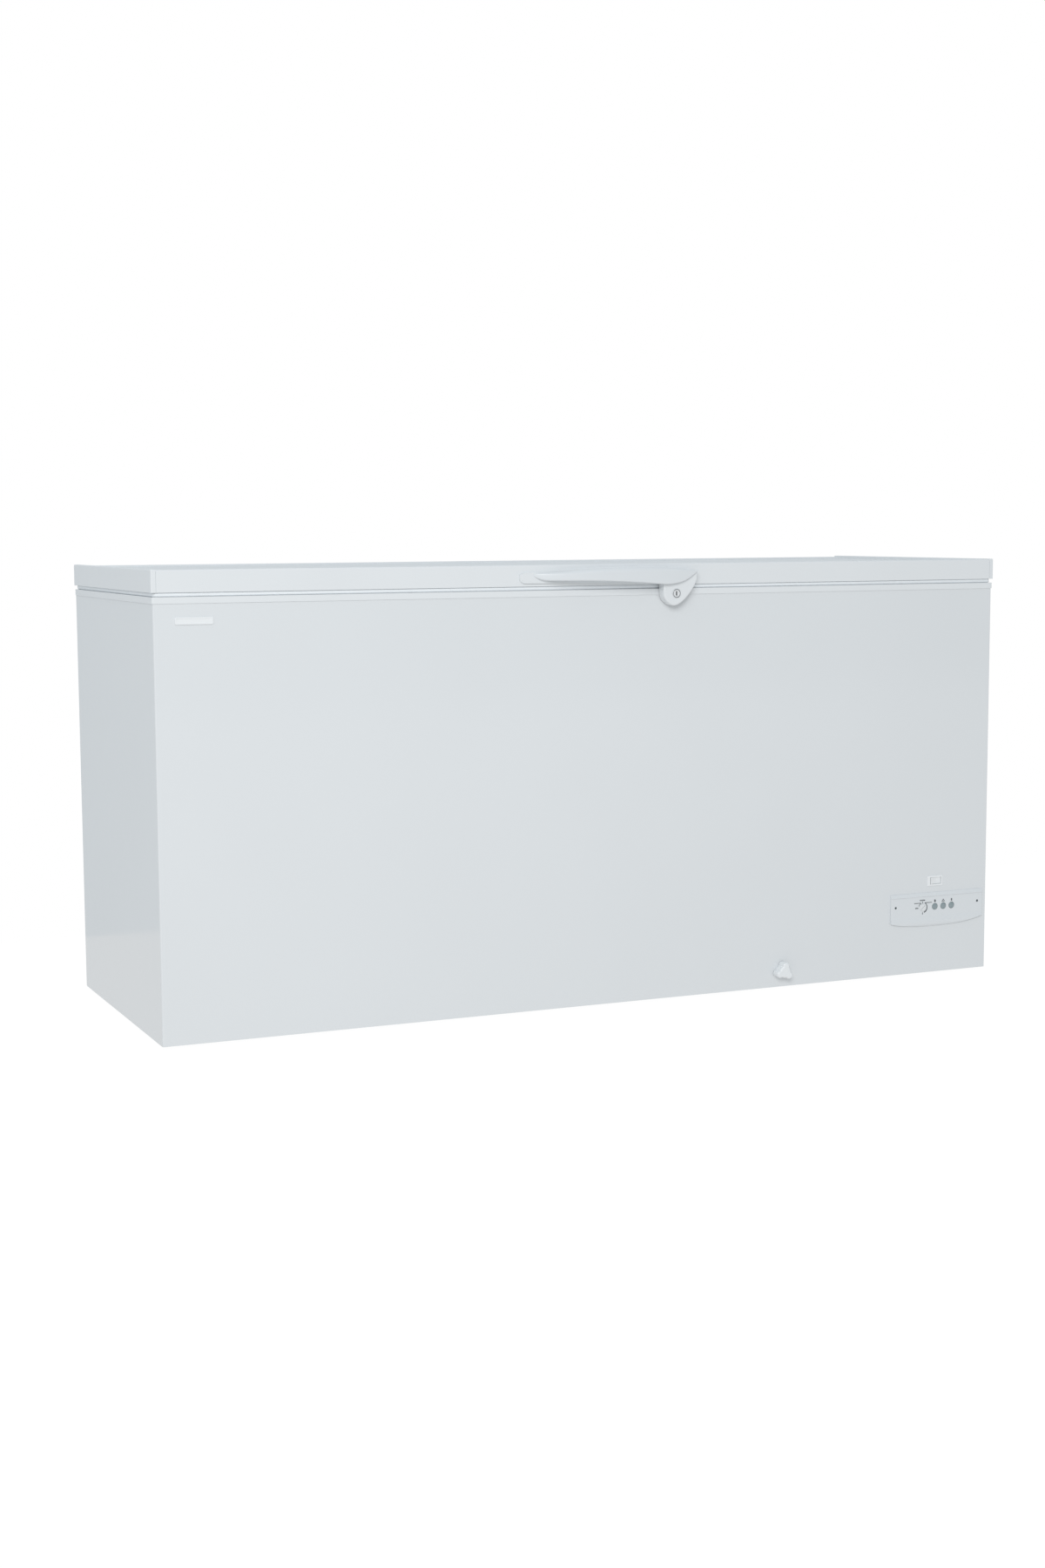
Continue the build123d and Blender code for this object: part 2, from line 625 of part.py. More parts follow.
with BuildPart() as thermostat_knob:
    rod_y(KNOB_X, KNOB_Z, FRONT - 5.2, FRONT + 1, 7.7)
    fillet(thermostat_knob.edges().group_by(Axis.Y)[0], 0.8)
    rod_y(KNOB_X, KNOB_Z, FRONT + 1, FRONT + 38, 3)
    with Locations(Location((KNOB_X, FRONT - 5.2, KNOB_Z), (0, -42, 0))):
        Box(12.5, 3.2, 1.8, mode=Mode.SUBTRACT)
thermostat_knob.part.label = "thermostat_knob"
export_step(thermostat_knob.part, "parts/thermostat_knob.step")

with BuildPart() as switch_bezel:
    with BuildSketch(front_plane(FRONT)):
        with Locations((779.3, SWITCH_Z)):
            RectangleRounded(37.4, 21.4, 1.5)
    extrude(amount=1.6)
    chamfer(switch_bezel.faces().sort_by(Axis.Y)[0].edges(), 0.5)
    block(765.6, 796.4, FRONT, FRONT + 15, SWITCH_Z - 8.4, SWITCH_Z + 8.4)
    block(SWITCH_X - 14.4, SWITCH_X + 14.4, FRONT - 3, FRONT + 13, SWITCH_Z - 7.4, SWITCH_Z + 7.4,
          mode=Mode.SUBTRACT)
    rod_z(SWITCH_X, SWITCH_PIVOT_Y, SWITCH_Z - 8.2, SWITCH_Z + 8.2, 1.56, mode=Mode.SUBTRACT)
    for dx in (-8, 8):
        block(SWITCH_X + dx - 3, SWITCH_X + dx + 3, FRONT + 15, FRONT + 24, SWITCH_Z - 0.4, SWITCH_Z + 0.4)
switch_bezel.part.label = "switch_bezel"
export_step(switch_bezel.part, "parts/switch_bezel.step")

with BuildPart() as switch_rocker:
    rocker_frame = Plane(origin=(SWITCH_X, SWITCH_PIVOT_Y, SWITCH_Z - 7.0), x_dir=(1, 0, 0))
    with BuildSketch(rocker_frame.rotated((0, 0, ROCKER_REST))):
        with BuildLine():
            Polyline((-13.3, -4.0), (0, -2.4), (13.3, -4.0), (12.4, 3), (-12.4, 3), close=True)
        make_face()
    extrude(amount=14)
    fillet(switch_rocker.edges().filter_by(Axis.Z).group_by(Axis.Y)[0], 0.6)
    rod_z(SWITCH_X, SWITCH_PIVOT_Y, SWITCH_Z - 8.1, SWITCH_Z + 8.1, 1.5)
switch_rocker.part.label = "switch_rocker"
export_step(switch_rocker.part, "parts/switch_rocker.step")

with BuildPart() as badge_plate:
    # a plain bar with a blank sunk field
    with BuildSketch(front_plane(FRONT)):
        with Locations((-833.7, 793.7)):
            RectangleRounded(72, 13.5, 2)
    extrude(amount=2.2)
    chamfer(badge_plate.faces().sort_by(Axis.Y)[0].edges(), 0.4)
    with BuildSketch(front_plane(FRONT - 2.2)):
        with Locations((-833.7, 793.7)):
            RectangleRounded(67, 8.5, 1)
    extrude(amount=-0.7, mode=Mode.SUBTRACT)
badge_plate.part.label = "badge_plate"
export_step(badge_plate.part, "parts/badge_plate.step")

# ---------------------------------------------------------------- drain
with BuildPart() as drain_socket:
    rod_y(DRAIN_X, DRAIN_Z, FRONT - 2, FRONT, 13.8)
    rod_y(DRAIN_X, DRAIN_Z, SPIGOT_END, FRONT - 2, SPIGOT_RADIUS)
    rod_y(DRAIN_X, DRAIN_Z, FRONT, -290, SPIGOT_RADIUS)
    rod_y(DRAIN_X, DRAIN_Z, SPIGOT_END - 1, -280, HOSE_RADIUS, mode=Mode.SUBTRACT)
    # thread relief grooves
    for y in (-322.5, -319.5, -316.5):
        with BuildSketch(side_plane(DRAIN_X)):
            with Locations((y, DRAIN_Z + SPIGOT_RADIUS)):
                Rectangle(1.2, 1.6)
        revolve(axis=Axis((DRAIN_X, 0, DRAIN_Z), (0, 1, 0)), mode=Mode.SUBTRACT)
drain_socket.part.label = "drain_socket"
export_step(drain_socket.part, "parts/drain_socket.step")

with BuildPart() as drain_tube:
    add(tube(hose_path, HOSE_RADIUS))
    add(tube(hose_path, HOSE_RADIUS - 1.5), mode=Mode.SUBTRACT)
    rod_z(DRAIN_X, DRAIN_OUTLET_Y, 72, LINER_FLOOR + 5, HOSE_RADIUS - 1.5, mode=Mode.SUBTRACT)
drain_tube.part.label = "drain_tube"
export_step(drain_tube.part, "parts/drain_tube.step")

with BuildPart() as drain_seal:
    rod_y(DRAIN_X, DRAIN_Z, SPIGOT_END - 3.3, SPIGOT_END - 0.3, SPIGOT_RADIUS - 0.6)
drain_seal.part.label = "drain_seal"
export_step(drain_seal.part, "parts/drain_seal.step")

CAP_FRONT = -332.0
CAP_REAR = -313.4

with BuildPart() as drain_cap:
    with BuildSketch(front_plane(CAP_REAR)):
        with Locations((DRAIN_X, DRAIN_Z)):
            Circle(12.6)
            with PolarLocations(12.1, 3, start_angle=80):
                Circle(7.7)
        fillet(vertices(), 5)
    extrude(amount=CAP_REAR - CAP_FRONT)
    fillet(drain_cap.faces().sort_by(Axis.Y)[0].edges(), 4)
    rod_y(DRAIN_X, DRAIN_Z, SPIGOT_END - 3.6, CAP_REAR + 1, SPIGOT_RADIUS + 0.08, mode=Mode.SUBTRACT)
drain_cap.part.label = "drain_cap"
export_step(drain_cap.part, "parts/drain_cap.step")

with BuildPart() as drain_stopper:
    rod_z(DRAIN_X, DRAIN_OUTLET_Y, LINER_FLOOR + LINER_WALL + 0.4, LINER_FLOOR + 5, 15)
    fillet(drain_stopper.edges().group_by(Axis.Z)[-1], 1.5)
    rod_z(DRAIN_X, DRAIN_OUTLET_Y, 76, LINER_FLOOR + 2, HOSE_RADIUS - 1.56)
    with Locations((DRAIN_X, DRAIN_OUTLET_Y, LINER_FLOOR + 5)):
        with BuildSketch(side_plane(DRAIN_X - 1.5)):
            with Locations((DRAIN_OUTLET_Y, LINER_FLOOR + 5)):
                Circle(8)
                Circle(5, mode=Mode.SUBTRACT)
                with Locations((0, -10)):
                    Rectangle(20, 20, mode=Mode.SUBTRACT)
        extrude(amount=3)
drain_stopper.part.label = "drain_stopper"
export_step(drain_stopper.part, "parts/drain_stopper.step")


# ---------------------------------------------------------------- lid
def trim_section(lip, top):
    """Section of a lid trim: outer wall, top lip over the panel, bottom lip under the foam."""
    with BuildSketch() as section:
        with BuildLine():
            Polyline(
                (0, LID_BOTTOM), (BOTTOM_LIP, LID_BOTTOM), (BOTTOM_LIP, LID_BOTTOM + 2.5),
                (TRIM_WALL, LID_BOTTOM + 2.5), (TRIM_WALL, LID_PANEL_TOP), (lip, LID_PANEL_TOP), (lip, top),
                (0, top), close=True,
            )
        make_face()
    return section.sketch


def end_trim(side):
    """A side trim with closed ends, outside any block; side is -1 for left and 1 for right."""
    with BuildPart() as trim:
        corner = (side * LID_X, -side * LID_Y, 0)
        with BuildSketch(Plane(origin=corner, x_dir=(-side, 0, 0), z_dir=(0, side, 0))):
            add(trim_section(SIDE_TRIM, LID_TOP))
        extrude(amount=2 * LID_Y)
        for y0, y1 in ((-LID_Y, -LID_Y + TRIM_WALL), (LID_Y - TRIM_WALL, LID_Y)):
            x0, x1 = sorted((side * (LID_X - SIDE_TRIM), side * LID_X))
            block(x0, x1, y0, y1, LID_BOTTOM, LID_TOP)
        outer = [
            edge for edge in trim.edges()
            if abs(edge.center().X) > LID_X - 0.01 and edge.center().Z > LID_BOTTOM + 1
        ]
        ends = trim.edges().filter_by(Axis.X).group_by(Axis.Z)[-1]
        ends = [edge for edge in ends if abs(edge.center().Y) > LID_Y - 0.01]
        fillet(outer + ends, 2.5)
    return trim.part


with BuildPart() as lid_left_trim:
    add(end_trim(-1))
lid_left_trim.part.label = "lid_left_trim"
export_step(lid_left_trim.part, "parts/lid_left_trim.step")

with BuildPart() as lid_right_trim:
    add(end_trim(1))
lid_right_trim.part.label = "lid_right_trim"
export_step(lid_right_trim.part, "parts/lid_right_trim.step")

HANDLE_SCREWS = ((-168.0, 862.0), (0.0, 864.0), (150.0, 866.0))
TRIM_END = LID_X - SIDE_TRIM

with BuildPart() as lid_front_trim:
    with BuildSketch(Plane(origin=(-TRIM_END, -LID_Y, 0), x_dir=(0, 1, 0), z_dir=(1, 0, 0))):
        add(trim_section(FRONT_LIP, 887))
    extrude(amount=2 * TRIM_END)
    fillet(lid_front_trim.edges().filter_by(Axis.X).group_by(Axis.Z)[-1].sort_by(Axis.Y)[0], 2.5)
    for x, z in HANDLE_SCREWS:
        rod_y(x, z, -LID_Y - 1, -LID_Y + 4, 2, mode=Mode.SUBTRACT)
lid_front_trim.part.label = "lid_front_trim"
export_step(lid_front_trim.part, "parts/lid_front_trim.step")

with BuildPart() as lid_rear_trim:
    with BuildSketch(Plane(origin=(TRIM_END, LID_Y, 0), x_dir=(0, -1, 0), z_dir=(-1, 0, 0))):
        add(trim_section(FRONT_LIP, 885.5))
    extrude(amount=2 * TRIM_END)
    fillet(lid_rear_trim.edges().filter_by(Axis.X).group_by(Axis.Z)[-1].sort_by(Axis.Y)[-1], 1.5)
    for hinge_x in HINGE_XS:
        for dx, z in LID_SCREW_OFFSETS:
            rod_y(hinge_x + dx, z, LID_Y - 4, LID_Y + 1, 2.25, mode=Mode.SUBTRACT)
lid_rear_trim.part.label = "lid_rear_trim"
export_step(lid_rear_trim.part, "parts/lid_rear_trim.step")

with BuildPart() as lid_top_panel:
    block(-LID_X + TRIM_WALL, LID_X - TRIM_WALL, -LID_Y + TRIM_WALL, LID_Y - TRIM_WALL,
          LID_PANEL_TOP - SHEET, LID_PANEL_TOP)
lid_top_panel.part.label = "lid_top_panel"
export_step(lid_top_panel.part, "parts/lid_top_panel.step")


def dish_body(inset, top):
    """The dish under the lid as a filled, tapered solid, outside any block."""
    with BuildPart() as dish:
        with BuildSketch(Plane.XY.offset(top)):
            RectangleRounded(2 * (DISH_X - inset), 2 * (DISH_Y - inset), 24 - inset)
        with BuildSketch(Plane.XY.offset(DISH_BOTTOM + inset)):
            RectangleRounded(2 * (DISH_X - inset - 7), 2 * (DISH_Y - inset - 7), 20 - inset)
        loft()
        fillet(dish.edges().group_by(Axis.Z)[0], 6 - inset)
    return dish.part


LINER_FLANGE = LID_BOTTOM + 2.5
dish_outer = dish_body(0, LINER_FLANGE)
dish_inner = dish_body(2, LINER_FLANGE)

with BuildPart() as lid_liner:
    block(-LID_X + BOTTOM_LIP, LID_X - BOTTOM_LIP, -LID_Y + BOTTOM_LIP, LID_Y - BOTTOM_LIP,
          LID_BOTTOM + 0.5, LINER_FLANGE)
    add(dish_outer)
    add(dish_inner, mode=Mode.SUBTRACT)
lid_liner.part.label = "lid_liner"
export_step(lid_liner.part, "parts/lid_liner.step")

with BuildPart() as lid_foam:
    block(-LID_X + TRIM_WALL, LID_X - TRIM_WALL, -LID_Y + TRIM_WALL, LID_Y - TRIM_WALL,
          LINER_FLANGE, LID_PANEL_TOP - SHEET)
    add(dish_inner)
    for x, z in HANDLE_SCREWS:
        rod_y(x, z, -LID_Y + TRIM_WALL, -LID_Y + TRIM_WALL + 3, 4, mode=Mode.SUBTRACT)
    for hinge_x in HINGE_XS:
        for dx, z in LID_SCREW_OFFSETS:
            rod_y(hinge_x + dx, z, LID_Y - 14, LID_Y, 2.25, mode=Mode.SUBTRACT)
lid_foam.part.label = "lid_foam"
export_step(lid_foam.part, "parts/lid_foam.step")

GASKET_REACH = (GASKET_X, GASKET_Y)
GASKET_TOP = LID_BOTTOM + 0.5
gasket_skin = frame_ring(
    GASKET_REACH, (GASKET_X - GASKET_WIDTH, GASKET_Y - GASKET_WIDTH), GASKET_BOTTOM, GASKET_TOP
)
gasket_chamber = frame_ring(
    (GASKET_X - 2, GASKET_Y - 2), (GASKET_X - 12, GASKET_Y - 12), GASKET_BOTTOM + 1.5, GASKET_TOP - 1.5
)
gasket_ring = gasket_skin - gasket_chamber

with BuildPart() as lid_gasket:
    # four mitred strips, parted by a hair at the corners
    for side, shift in (("front", (0, -0.1)), ("right", (0.1, 0)), ("rear", (0, 0.1)), ("left", (-0.1, 0))):
        add(gasket_ring & wedge(side, GASKET_REACH).moved(Location((*shift, 0))))
lid_gasket.part.label = "lid_gasket"
export_step(lid_gasket.part, "parts/lid_gasket.step")

# ---------------------------------------------------------------- handle and lock
LOBE_POINTS = (
    (116.0, 829.0), (118.2, 819.5), (123.5, 811.8), (130.5, 806.4), (138.0, 803.8), (144.5, 804.4),
    (152.6, 807.9), (162.5, 815.2), (172.4, 825.4), (182.4, 838.5), (187.6, 847.6), (191.4, 857.5),
)


with BuildSketch() as handle_plate_outline:
    # the plate behind the grip, ending in the lock lobe at the right
    with BuildLine():
        Polyline((191.4, 857.5), (191.4, 873.2), (186, 875.5))
        Spline((186, 875.5), (100, 879.5), (-20, 878.5), (-112, 875.5), (-179, 871.5))
        Polyline((-179, 871.5), (-187.5, 868), (-187.5, 860))
        Spline((-187.5, 860), (-184, 854.5), (-175, 851.8), tangents=((0.1, -1), (1, 0)))
        Polyline((-175, 851.8), (116, 849.0), LOBE_POINTS[0])
        Spline(*LOBE_POINTS)
    make_face()


def inset_points(points, distance):
    """The same run of points moved to its left by a wall thickness."""
    moved = []
    for i, point in enumerate(points):
        before, after = points[max(i - 1, 0)], points[min(i + 1, len(points) - 1)]
        along = (Vector(*after) - Vector(*before)).normalized()
        moved.append((point[0] - along.Y * distance, point[1] + along.X * distance))
    return moved


with BuildSketch() as lobe_outline:
    # the lobe alone, up to the top line of the grip
    with BuildLine():
        Polyline((191.4, 857.5), (191.4, 873.2), (116, 873.2), LOBE_POINTS[0])
        Spline(*LOBE_POINTS)
    make_face()

with BuildSketch() as lobe_hollow:
    with BuildLine():
        inner = inset_points(LOBE_POINTS, 2.5)
        Polyline(inner[-1], (188.9, 870.7), (118.5, 870.7), inner[0])
        Spline(*inner)
    make_face()


with BuildPart() as handle_base:
    with BuildSketch(front_plane(-LID_Y)):
        add(handle_plate_outline.sketch)
    extrude(amount=5)
    block(90, 200, -LID_Y - 6, -LID_Y + 1, 800, LID_BOTTOM, mode=Mode.SUBTRACT)
    with BuildSketch(front_plane(LOBE_REAR)):
        add(lobe_outline.sketch)
    extrude(amount=LOBE_REAR - LOBE_FACE)
    fillet(handle_base.faces().sort_by(Axis.Y)[0].edges(), 3.5)
    # hollow the lobe from behind, leaving its front and side walls
    with BuildSketch(front_plane(LOBE_REAR + 2)):
        add(lobe_hollow.sketch)
    extrude(amount=LOBE_REAR - LOBE_FACE - 0.5, mode=Mode.SUBTRACT)
    with BuildSketch(front_plane(-LID_Y)):
        add(lobe_outline.sketch)
        with Locations((150, LID_BOTTOM + 50)):
            Rectangle(200, 100, mode=Mode.INTERSECT)
    extrude(amount=3)
    # clearance for the keeper as the lobe lifts past it
    block(150, 200, LOBE_FACE + 12.5, LOBE_REAR + 1, 800, 841, mode=Mode.SUBTRACT)
    rod_y(LOCK_X, LOCK_Z, LOBE_FACE - 1, LOBE_FACE + 1, 9.6, mode=Mode.SUBTRACT)
    rod_y(LOCK_X, LOCK_Z, LOBE_FACE, LOBE_FACE + 4, 8, mode=Mode.SUBTRACT)
    for x, z in HANDLE_SCREWS:
        rod_y(x, z, -LID_Y - 3.5, -LID_Y + 1, 2, mode=Mode.SUBTRACT)
handle_base.part.label = "handle_base"
export_step(handle_base.part, "parts/handle_base.step")

with BuildPart() as handle_grip:
    # plan view of the bow
    with BuildSketch(Plane.XY.offset(835)):
        with BuildLine():
            Spline(
                (-158.5, -318), (-138, -328), (-97, -340.5), (-38, -348.7), (20, HANDLE_FRONT), (80, -349.5),
                (140, -345), (191, -338.5),
            )
            Polyline((191, -338.5), (191, LOBE_FACE), (116, LOBE_FACE))
            Spline((116, LOBE_FACE), (66, -338.5), (12, -340), (-42, -338), (-88, -331), (-126, -318))
            Line((-126, -318), (-158.5, -318))
        make_face()
    extrude(amount=60)
    # front view of the grip's face, a long leaf with its point at the right
    with BuildSketch(front_plane(-300)):
        with BuildLine():
            Spline(
                (-158.5, 869), (-118, 872.7), (-64, 876.8), (-12, 879.5), (60, 881), (130, 878.8),
                (191, 873.2),
            )
            Spline((191, 873.2), (187, 869.2), (172.3, 859), (157.4, 851.6), (134, 847.1), (116, 846.3))
            Spline((116, 846.3), (56, 851), (-34, 855.2), (-136, 856.4))
            Spline(
                (-136, 856.4), (-145.5, 858.5), (-153, 863.5), (-158.5, 869),
                tangents=((-1, 0.1), (-0.6, 0.8)),
            )
        make_face()
    extrude(amount=60, mode=Mode.INTERSECT)
handle_grip.part.label = "handle_grip"
export_step(handle_grip.part, "parts/handle_grip.step")

with BuildPart() as handle_screws:
    for x, z in HANDLE_SCREWS:
        rod_y(x, z, -LID_Y - 3.5, -LID_Y + TRIM_WALL, 2)
        rod_y(x, z, -LID_Y + TRIM_WALL, -LID_Y + TRIM_WALL + 3, 4)
handle_screws.part.label = "handle_screws"
export_step(handle_screws.part, "parts/handle_screws.step")

with BuildPart() as lock_barrel:
    rod_y(LOCK_X, LOCK_Z, LOBE_FACE - 1.5, LOBE_FACE + 1, 8.8)
    fillet(lock_barrel.edges().group_by(Axis.Y)[0], 0.8)
    rod_y(LOCK_X, LOCK_Z, LOBE_FACE + 1, -321, 8)
    rod_y(LOCK_X, LOCK_Z, LOBE_FACE - 3, -320, 5.56, mode=Mode.SUBTRACT)
    chamfer(lock_barrel.edges().filter_by(GeomType.CIRCLE).filter_by(
        lambda edge: abs(edge.radius - 5.56) < 0.01).group_by(Axis.Y)[0], 0.6)
lock_barrel.part.label = "lock_barrel"
export_step(lock_barrel.part, "parts/lock_barrel.step")

with BuildPart() as lock_plug:
    rod_y(LOCK_X, LOCK_Z, LOBE_FACE - 0.7, -320, 5.5)
    block(LOCK_X - 1.3, LOCK_X + 1.3, LOBE_FACE - 2, LOBE_FACE + 9, LOCK_Z - 4.3, LOCK_Z + 4.3,
          mode=Mode.SUBTRACT)
    rod_y(LOCK_X, LOCK_Z, -320, -317.4, 3)
lock_plug.part.label = "lock_plug"
export_step(lock_plug.part, "parts/lock_plug.step")

with BuildPart() as lock_cam:
    with BuildSketch(front_plane(-317.6)):
        with Locations((LOCK_X, LOCK_Z)):
            Circle(6.5)
        with Locations((LOCK_X, LOCK_Z - 8)):
            RectangleRounded(8, 16, 1.5)
        with Locations((LOCK_X, LOCK_Z)):
            Circle(3, mode=Mode.SUBTRACT)
    extrude(amount=2)
lock_cam.part.label = "lock_cam"
export_step(lock_cam.part, "parts/lock_cam.step")

with BuildPart() as lock_keeper:
    block(126, 165, FRONT - 1.6, FRONT, 815, 825)
    block(153.5, 165, FRONT - 3.2, FRONT, 818, 825)
    block(153.5, 165, FRONT - 3.2, FRONT - 1.7, 824, 835)
    block(153.5, 165, -320.3, FRONT - 1.7, 833.2, 835)
lock_keeper.part.label = "lock_keeper"
export_step(lock_keeper.part, "parts/lock_keeper.step")

# ---------------------------------------------------------------- hinges
with BuildPart() as hinge_brackets:
    for x in HINGE_XS:
        block(x - 40, x + 40, BACK, BACK + 2, 756, 824)
        for dx, z in HINGE_SCREW_OFFSETS:
            rod_y(x + dx, z, BACK - 1, BACK + 3, 2.25, mode=Mode.SUBTRACT)
        for sx in (-1, 1):
            with BuildSketch(side_plane(x + sx * 22 - 1)):
                with BuildLine():
                    Polyline(
                        (BACK, 762), (BACK + 12, 762), (BACK + 40, 824), (BACK + 40, 856), (BACK + 14, 856),
                        (BACK + 14, 824), (BACK, 824), close=True,
                    )
                make_face()
                with Locations((HINGE_Y, HINGE_Z)):
                    Circle(PIN_RADIUS, mode=Mode.SUBTRACT)
            extrude(amount=2)
hinge_brackets.part.label = "hinge_brackets"
export_step(hinge_brackets.part, "parts/hinge_brackets.step")

with BuildPart() as hinge_screws:
    for hinge_x in HINGE_XS:
        for dx, z in HINGE_SCREW_OFFSETS:
            rod_y(hinge_x + dx, z, 296, BACK + 2, 2.25)
            rod_y(hinge_x + dx, z, BACK + 2, BACK + 4.6, 4.5)
hinge_screws.part.label = "hinge_screws"
export_step(hinge_screws.part, "parts/hinge_screws.step")

with BuildPart() as hinge_pins:
    for x in HINGE_XS:
        rod_x(HINGE_Y, HINGE_Z, x - 26, x + 25, PIN_RADIUS)
        rod_x(HINGE_Y, HINGE_Z, x - 29, x - 26, PIN_RADIUS + 2)
        rod_x(HINGE_Y, HINGE_Z, x + 23, x + 25, PIN_RADIUS + 1.5)
hinge_pins.part.label = "hinge_pins"
export_step(hinge_pins.part, "parts/hinge_pins.step")

with BuildPart() as hinge_springs:
    for x in HINGE_XS:
        spring_line = Helix(
            pitch=3.4, height=20.4, radius=7.5, center=(x - 10.2, HINGE_Y, HINGE_Z), direction=(1, 0, 0)
        )
        with BuildSketch(Plane(origin=spring_line @ 0, z_dir=spring_line % 0)):
            Circle(1.3)
        sweep(path=spring_line)
hinge_springs.part.label = "hinge_springs"
export_step(hinge_springs.part, "parts/hinge_springs.step")

with BuildPart() as lid_hinge_arms:
    for x in HINGE_XS:
        block(x - 40, x + 40, LID_Y, LID_Y + 2, 849, 883)
        for dx, z in LID_SCREW_OFFSETS:
            rod_y(x + dx, z, LID_Y - 1, LID_Y + 3, 2.25, mode=Mode.SUBTRACT)
        for sx in (-1, 1):
            with BuildSketch(side_plane(x + sx * 17 - 1.25)):
                with BuildLine():
                    Polyline((LID_Y, 850), (HINGE_Y - 7, 842), (HINGE_Y - 5, 838), (HINGE_Y + 3, 837),
                             (HINGE_Y + 8, 842), (HINGE_Y + 8, 852), (LID_Y + 6, 882), (LID_Y, 882),
                             close=True)
                make_face()
                with Locations((HINGE_Y, HINGE_Z)):
                    Circle(PIN_RADIUS + 0.08, mode=Mode.SUBTRACT)
            extrude(amount=2.5)
lid_hinge_arms.part.label = "lid_hinge_arms"
export_step(lid_hinge_arms.part, "parts/lid_hinge_arms.step")

with BuildPart() as lid_hinge_screws:
    for hinge_x in HINGE_XS:
        for dx, z in LID_SCREW_OFFSETS:
            rod_y(hinge_x + dx, z, LID_Y - 14, LID_Y + 2, 2.25)
            rod_y(hinge_x + dx, z, LID_Y + 2, LID_Y + 4.6, 4.5)
lid_hinge_screws.part.label = "lid_hinge_screws"
export_step(lid_hinge_screws.part, "parts/lid_hinge_screws.step")
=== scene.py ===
import json
import math

import bmesh
import bpy
from mathutils import Matrix, Vector


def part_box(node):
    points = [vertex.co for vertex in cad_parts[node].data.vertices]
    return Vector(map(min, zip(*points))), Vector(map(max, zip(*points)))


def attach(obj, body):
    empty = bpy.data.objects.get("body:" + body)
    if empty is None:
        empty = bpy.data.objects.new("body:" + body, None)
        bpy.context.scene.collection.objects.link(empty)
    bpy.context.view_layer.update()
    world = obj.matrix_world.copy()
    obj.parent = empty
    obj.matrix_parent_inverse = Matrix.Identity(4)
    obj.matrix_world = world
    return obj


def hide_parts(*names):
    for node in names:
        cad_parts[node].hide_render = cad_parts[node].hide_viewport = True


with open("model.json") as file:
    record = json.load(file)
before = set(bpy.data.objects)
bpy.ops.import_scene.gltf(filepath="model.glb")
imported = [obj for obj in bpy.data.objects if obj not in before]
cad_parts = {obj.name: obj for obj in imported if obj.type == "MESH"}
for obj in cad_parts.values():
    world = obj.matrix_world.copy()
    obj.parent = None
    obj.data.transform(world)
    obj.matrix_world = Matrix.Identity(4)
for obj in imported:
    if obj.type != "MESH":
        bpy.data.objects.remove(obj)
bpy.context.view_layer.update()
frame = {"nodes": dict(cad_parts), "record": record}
NODES = frame["nodes"]
MM = 0.001


# ---------------------------------------------------------------- camera
# from a fit to the cabinet's edges in the photograph
CAMERA_PLACE = (-1.94189, -4.33187, 0.96482)
CAMERA_YAW, CAMERA_PITCH, CAMERA_ROLL = 0.4127, 0.1142, -0.005
CAMERA_LENS = 51.906


def make_camera():
    """The photograph's viewpoint."""
    yaw, pitch, roll = CAMERA_YAW, CAMERA_PITCH, CAMERA_ROLL
    forward = Vector((math.sin(yaw) * math.cos(pitch), math.cos(yaw) * math.cos(pitch), -math.sin(pitch)))
    level = Vector((math.cos(yaw), -math.sin(yaw), 0))
    upright = level.cross(forward)
    right = level * math.cos(roll) + upright * math.sin(roll)
    up = upright * math.cos(roll) - level * math.sin(roll)
    data = bpy.data.cameras.new("camera")
    data.lens = CAMERA_LENS
    data.sensor_width = 36
    data.clip_end = 100
    camera = bpy.data.objects.new("camera", data)
    bpy.context.scene.collection.objects.link(camera)
    turn = Matrix((right, up, -forward)).transposed().to_4x4()
    camera.matrix_world = Matrix.Translation(CAMERA_PLACE) @ turn
    bpy.context.scene.camera = camera


make_camera()


# ---------------------------------------------------------------- materials
def new_material(name, color, roughness, metallic=0.0, **sockets):
    material = bpy.data.materials.new(name)
    material.use_nodes = True
    shader = material.node_tree.nodes["Principled BSDF"]
    shader.inputs["Base Color"].default_value = (*color, 1)
    shader.inputs["Roughness"].default_value = roughness
    shader.inputs["Metallic"].default_value = metallic
    for socket, value in sockets.items():
        shader.inputs[socket.replace("_", " ")].default_value = value
    return material


def shade(color, amount):
    return tuple(c * amount for c in color)


def object_coordinates(tree):
    return tree.nodes.new("ShaderNodeTexCoord").outputs["Object"]


def noise(tree, scale, detail=2.0, stretch=None):
    """Noise of so many features per metre."""
    node = tree.nodes.new("ShaderNodeTexNoise")
    node.inputs["Scale"].default_value = scale
    node.inputs["Detail"].default_value = detail
    source = object_coordinates(tree)
    if stretch:
        mapping = tree.nodes.new("ShaderNodeMapping")
        mapping.inputs["Scale"].default_value = stretch
        tree.links.new(source, mapping.inputs["Vector"])
        source = mapping.outputs["Vector"]
    tree.links.new(source, node.inputs["Vector"])
    return node.outputs["Fac"]


def cells(tree, scale, feature="F1"):
    """Voronoi cells, so many per metre."""
    node = tree.nodes.new("ShaderNodeTexVoronoi")
    node.feature = feature
    node.inputs["Scale"].default_value = scale
    tree.links.new(object_coordinates(tree), node.inputs["Vector"])
    return node


def remap(tree, value, low, high, from_low=0.3, from_high=0.7):
    """A value stretched to a new range, from the range that noise mostly keeps to."""
    node = tree.nodes.new("ShaderNodeMapRange")
    node.inputs["From Min"].default_value = from_low
    node.inputs["From Max"].default_value = from_high
    node.inputs["To Min"].default_value = low
    node.inputs["To Max"].default_value = high
    tree.links.new(value, node.inputs["Value"])
    return node.outputs["Result"]


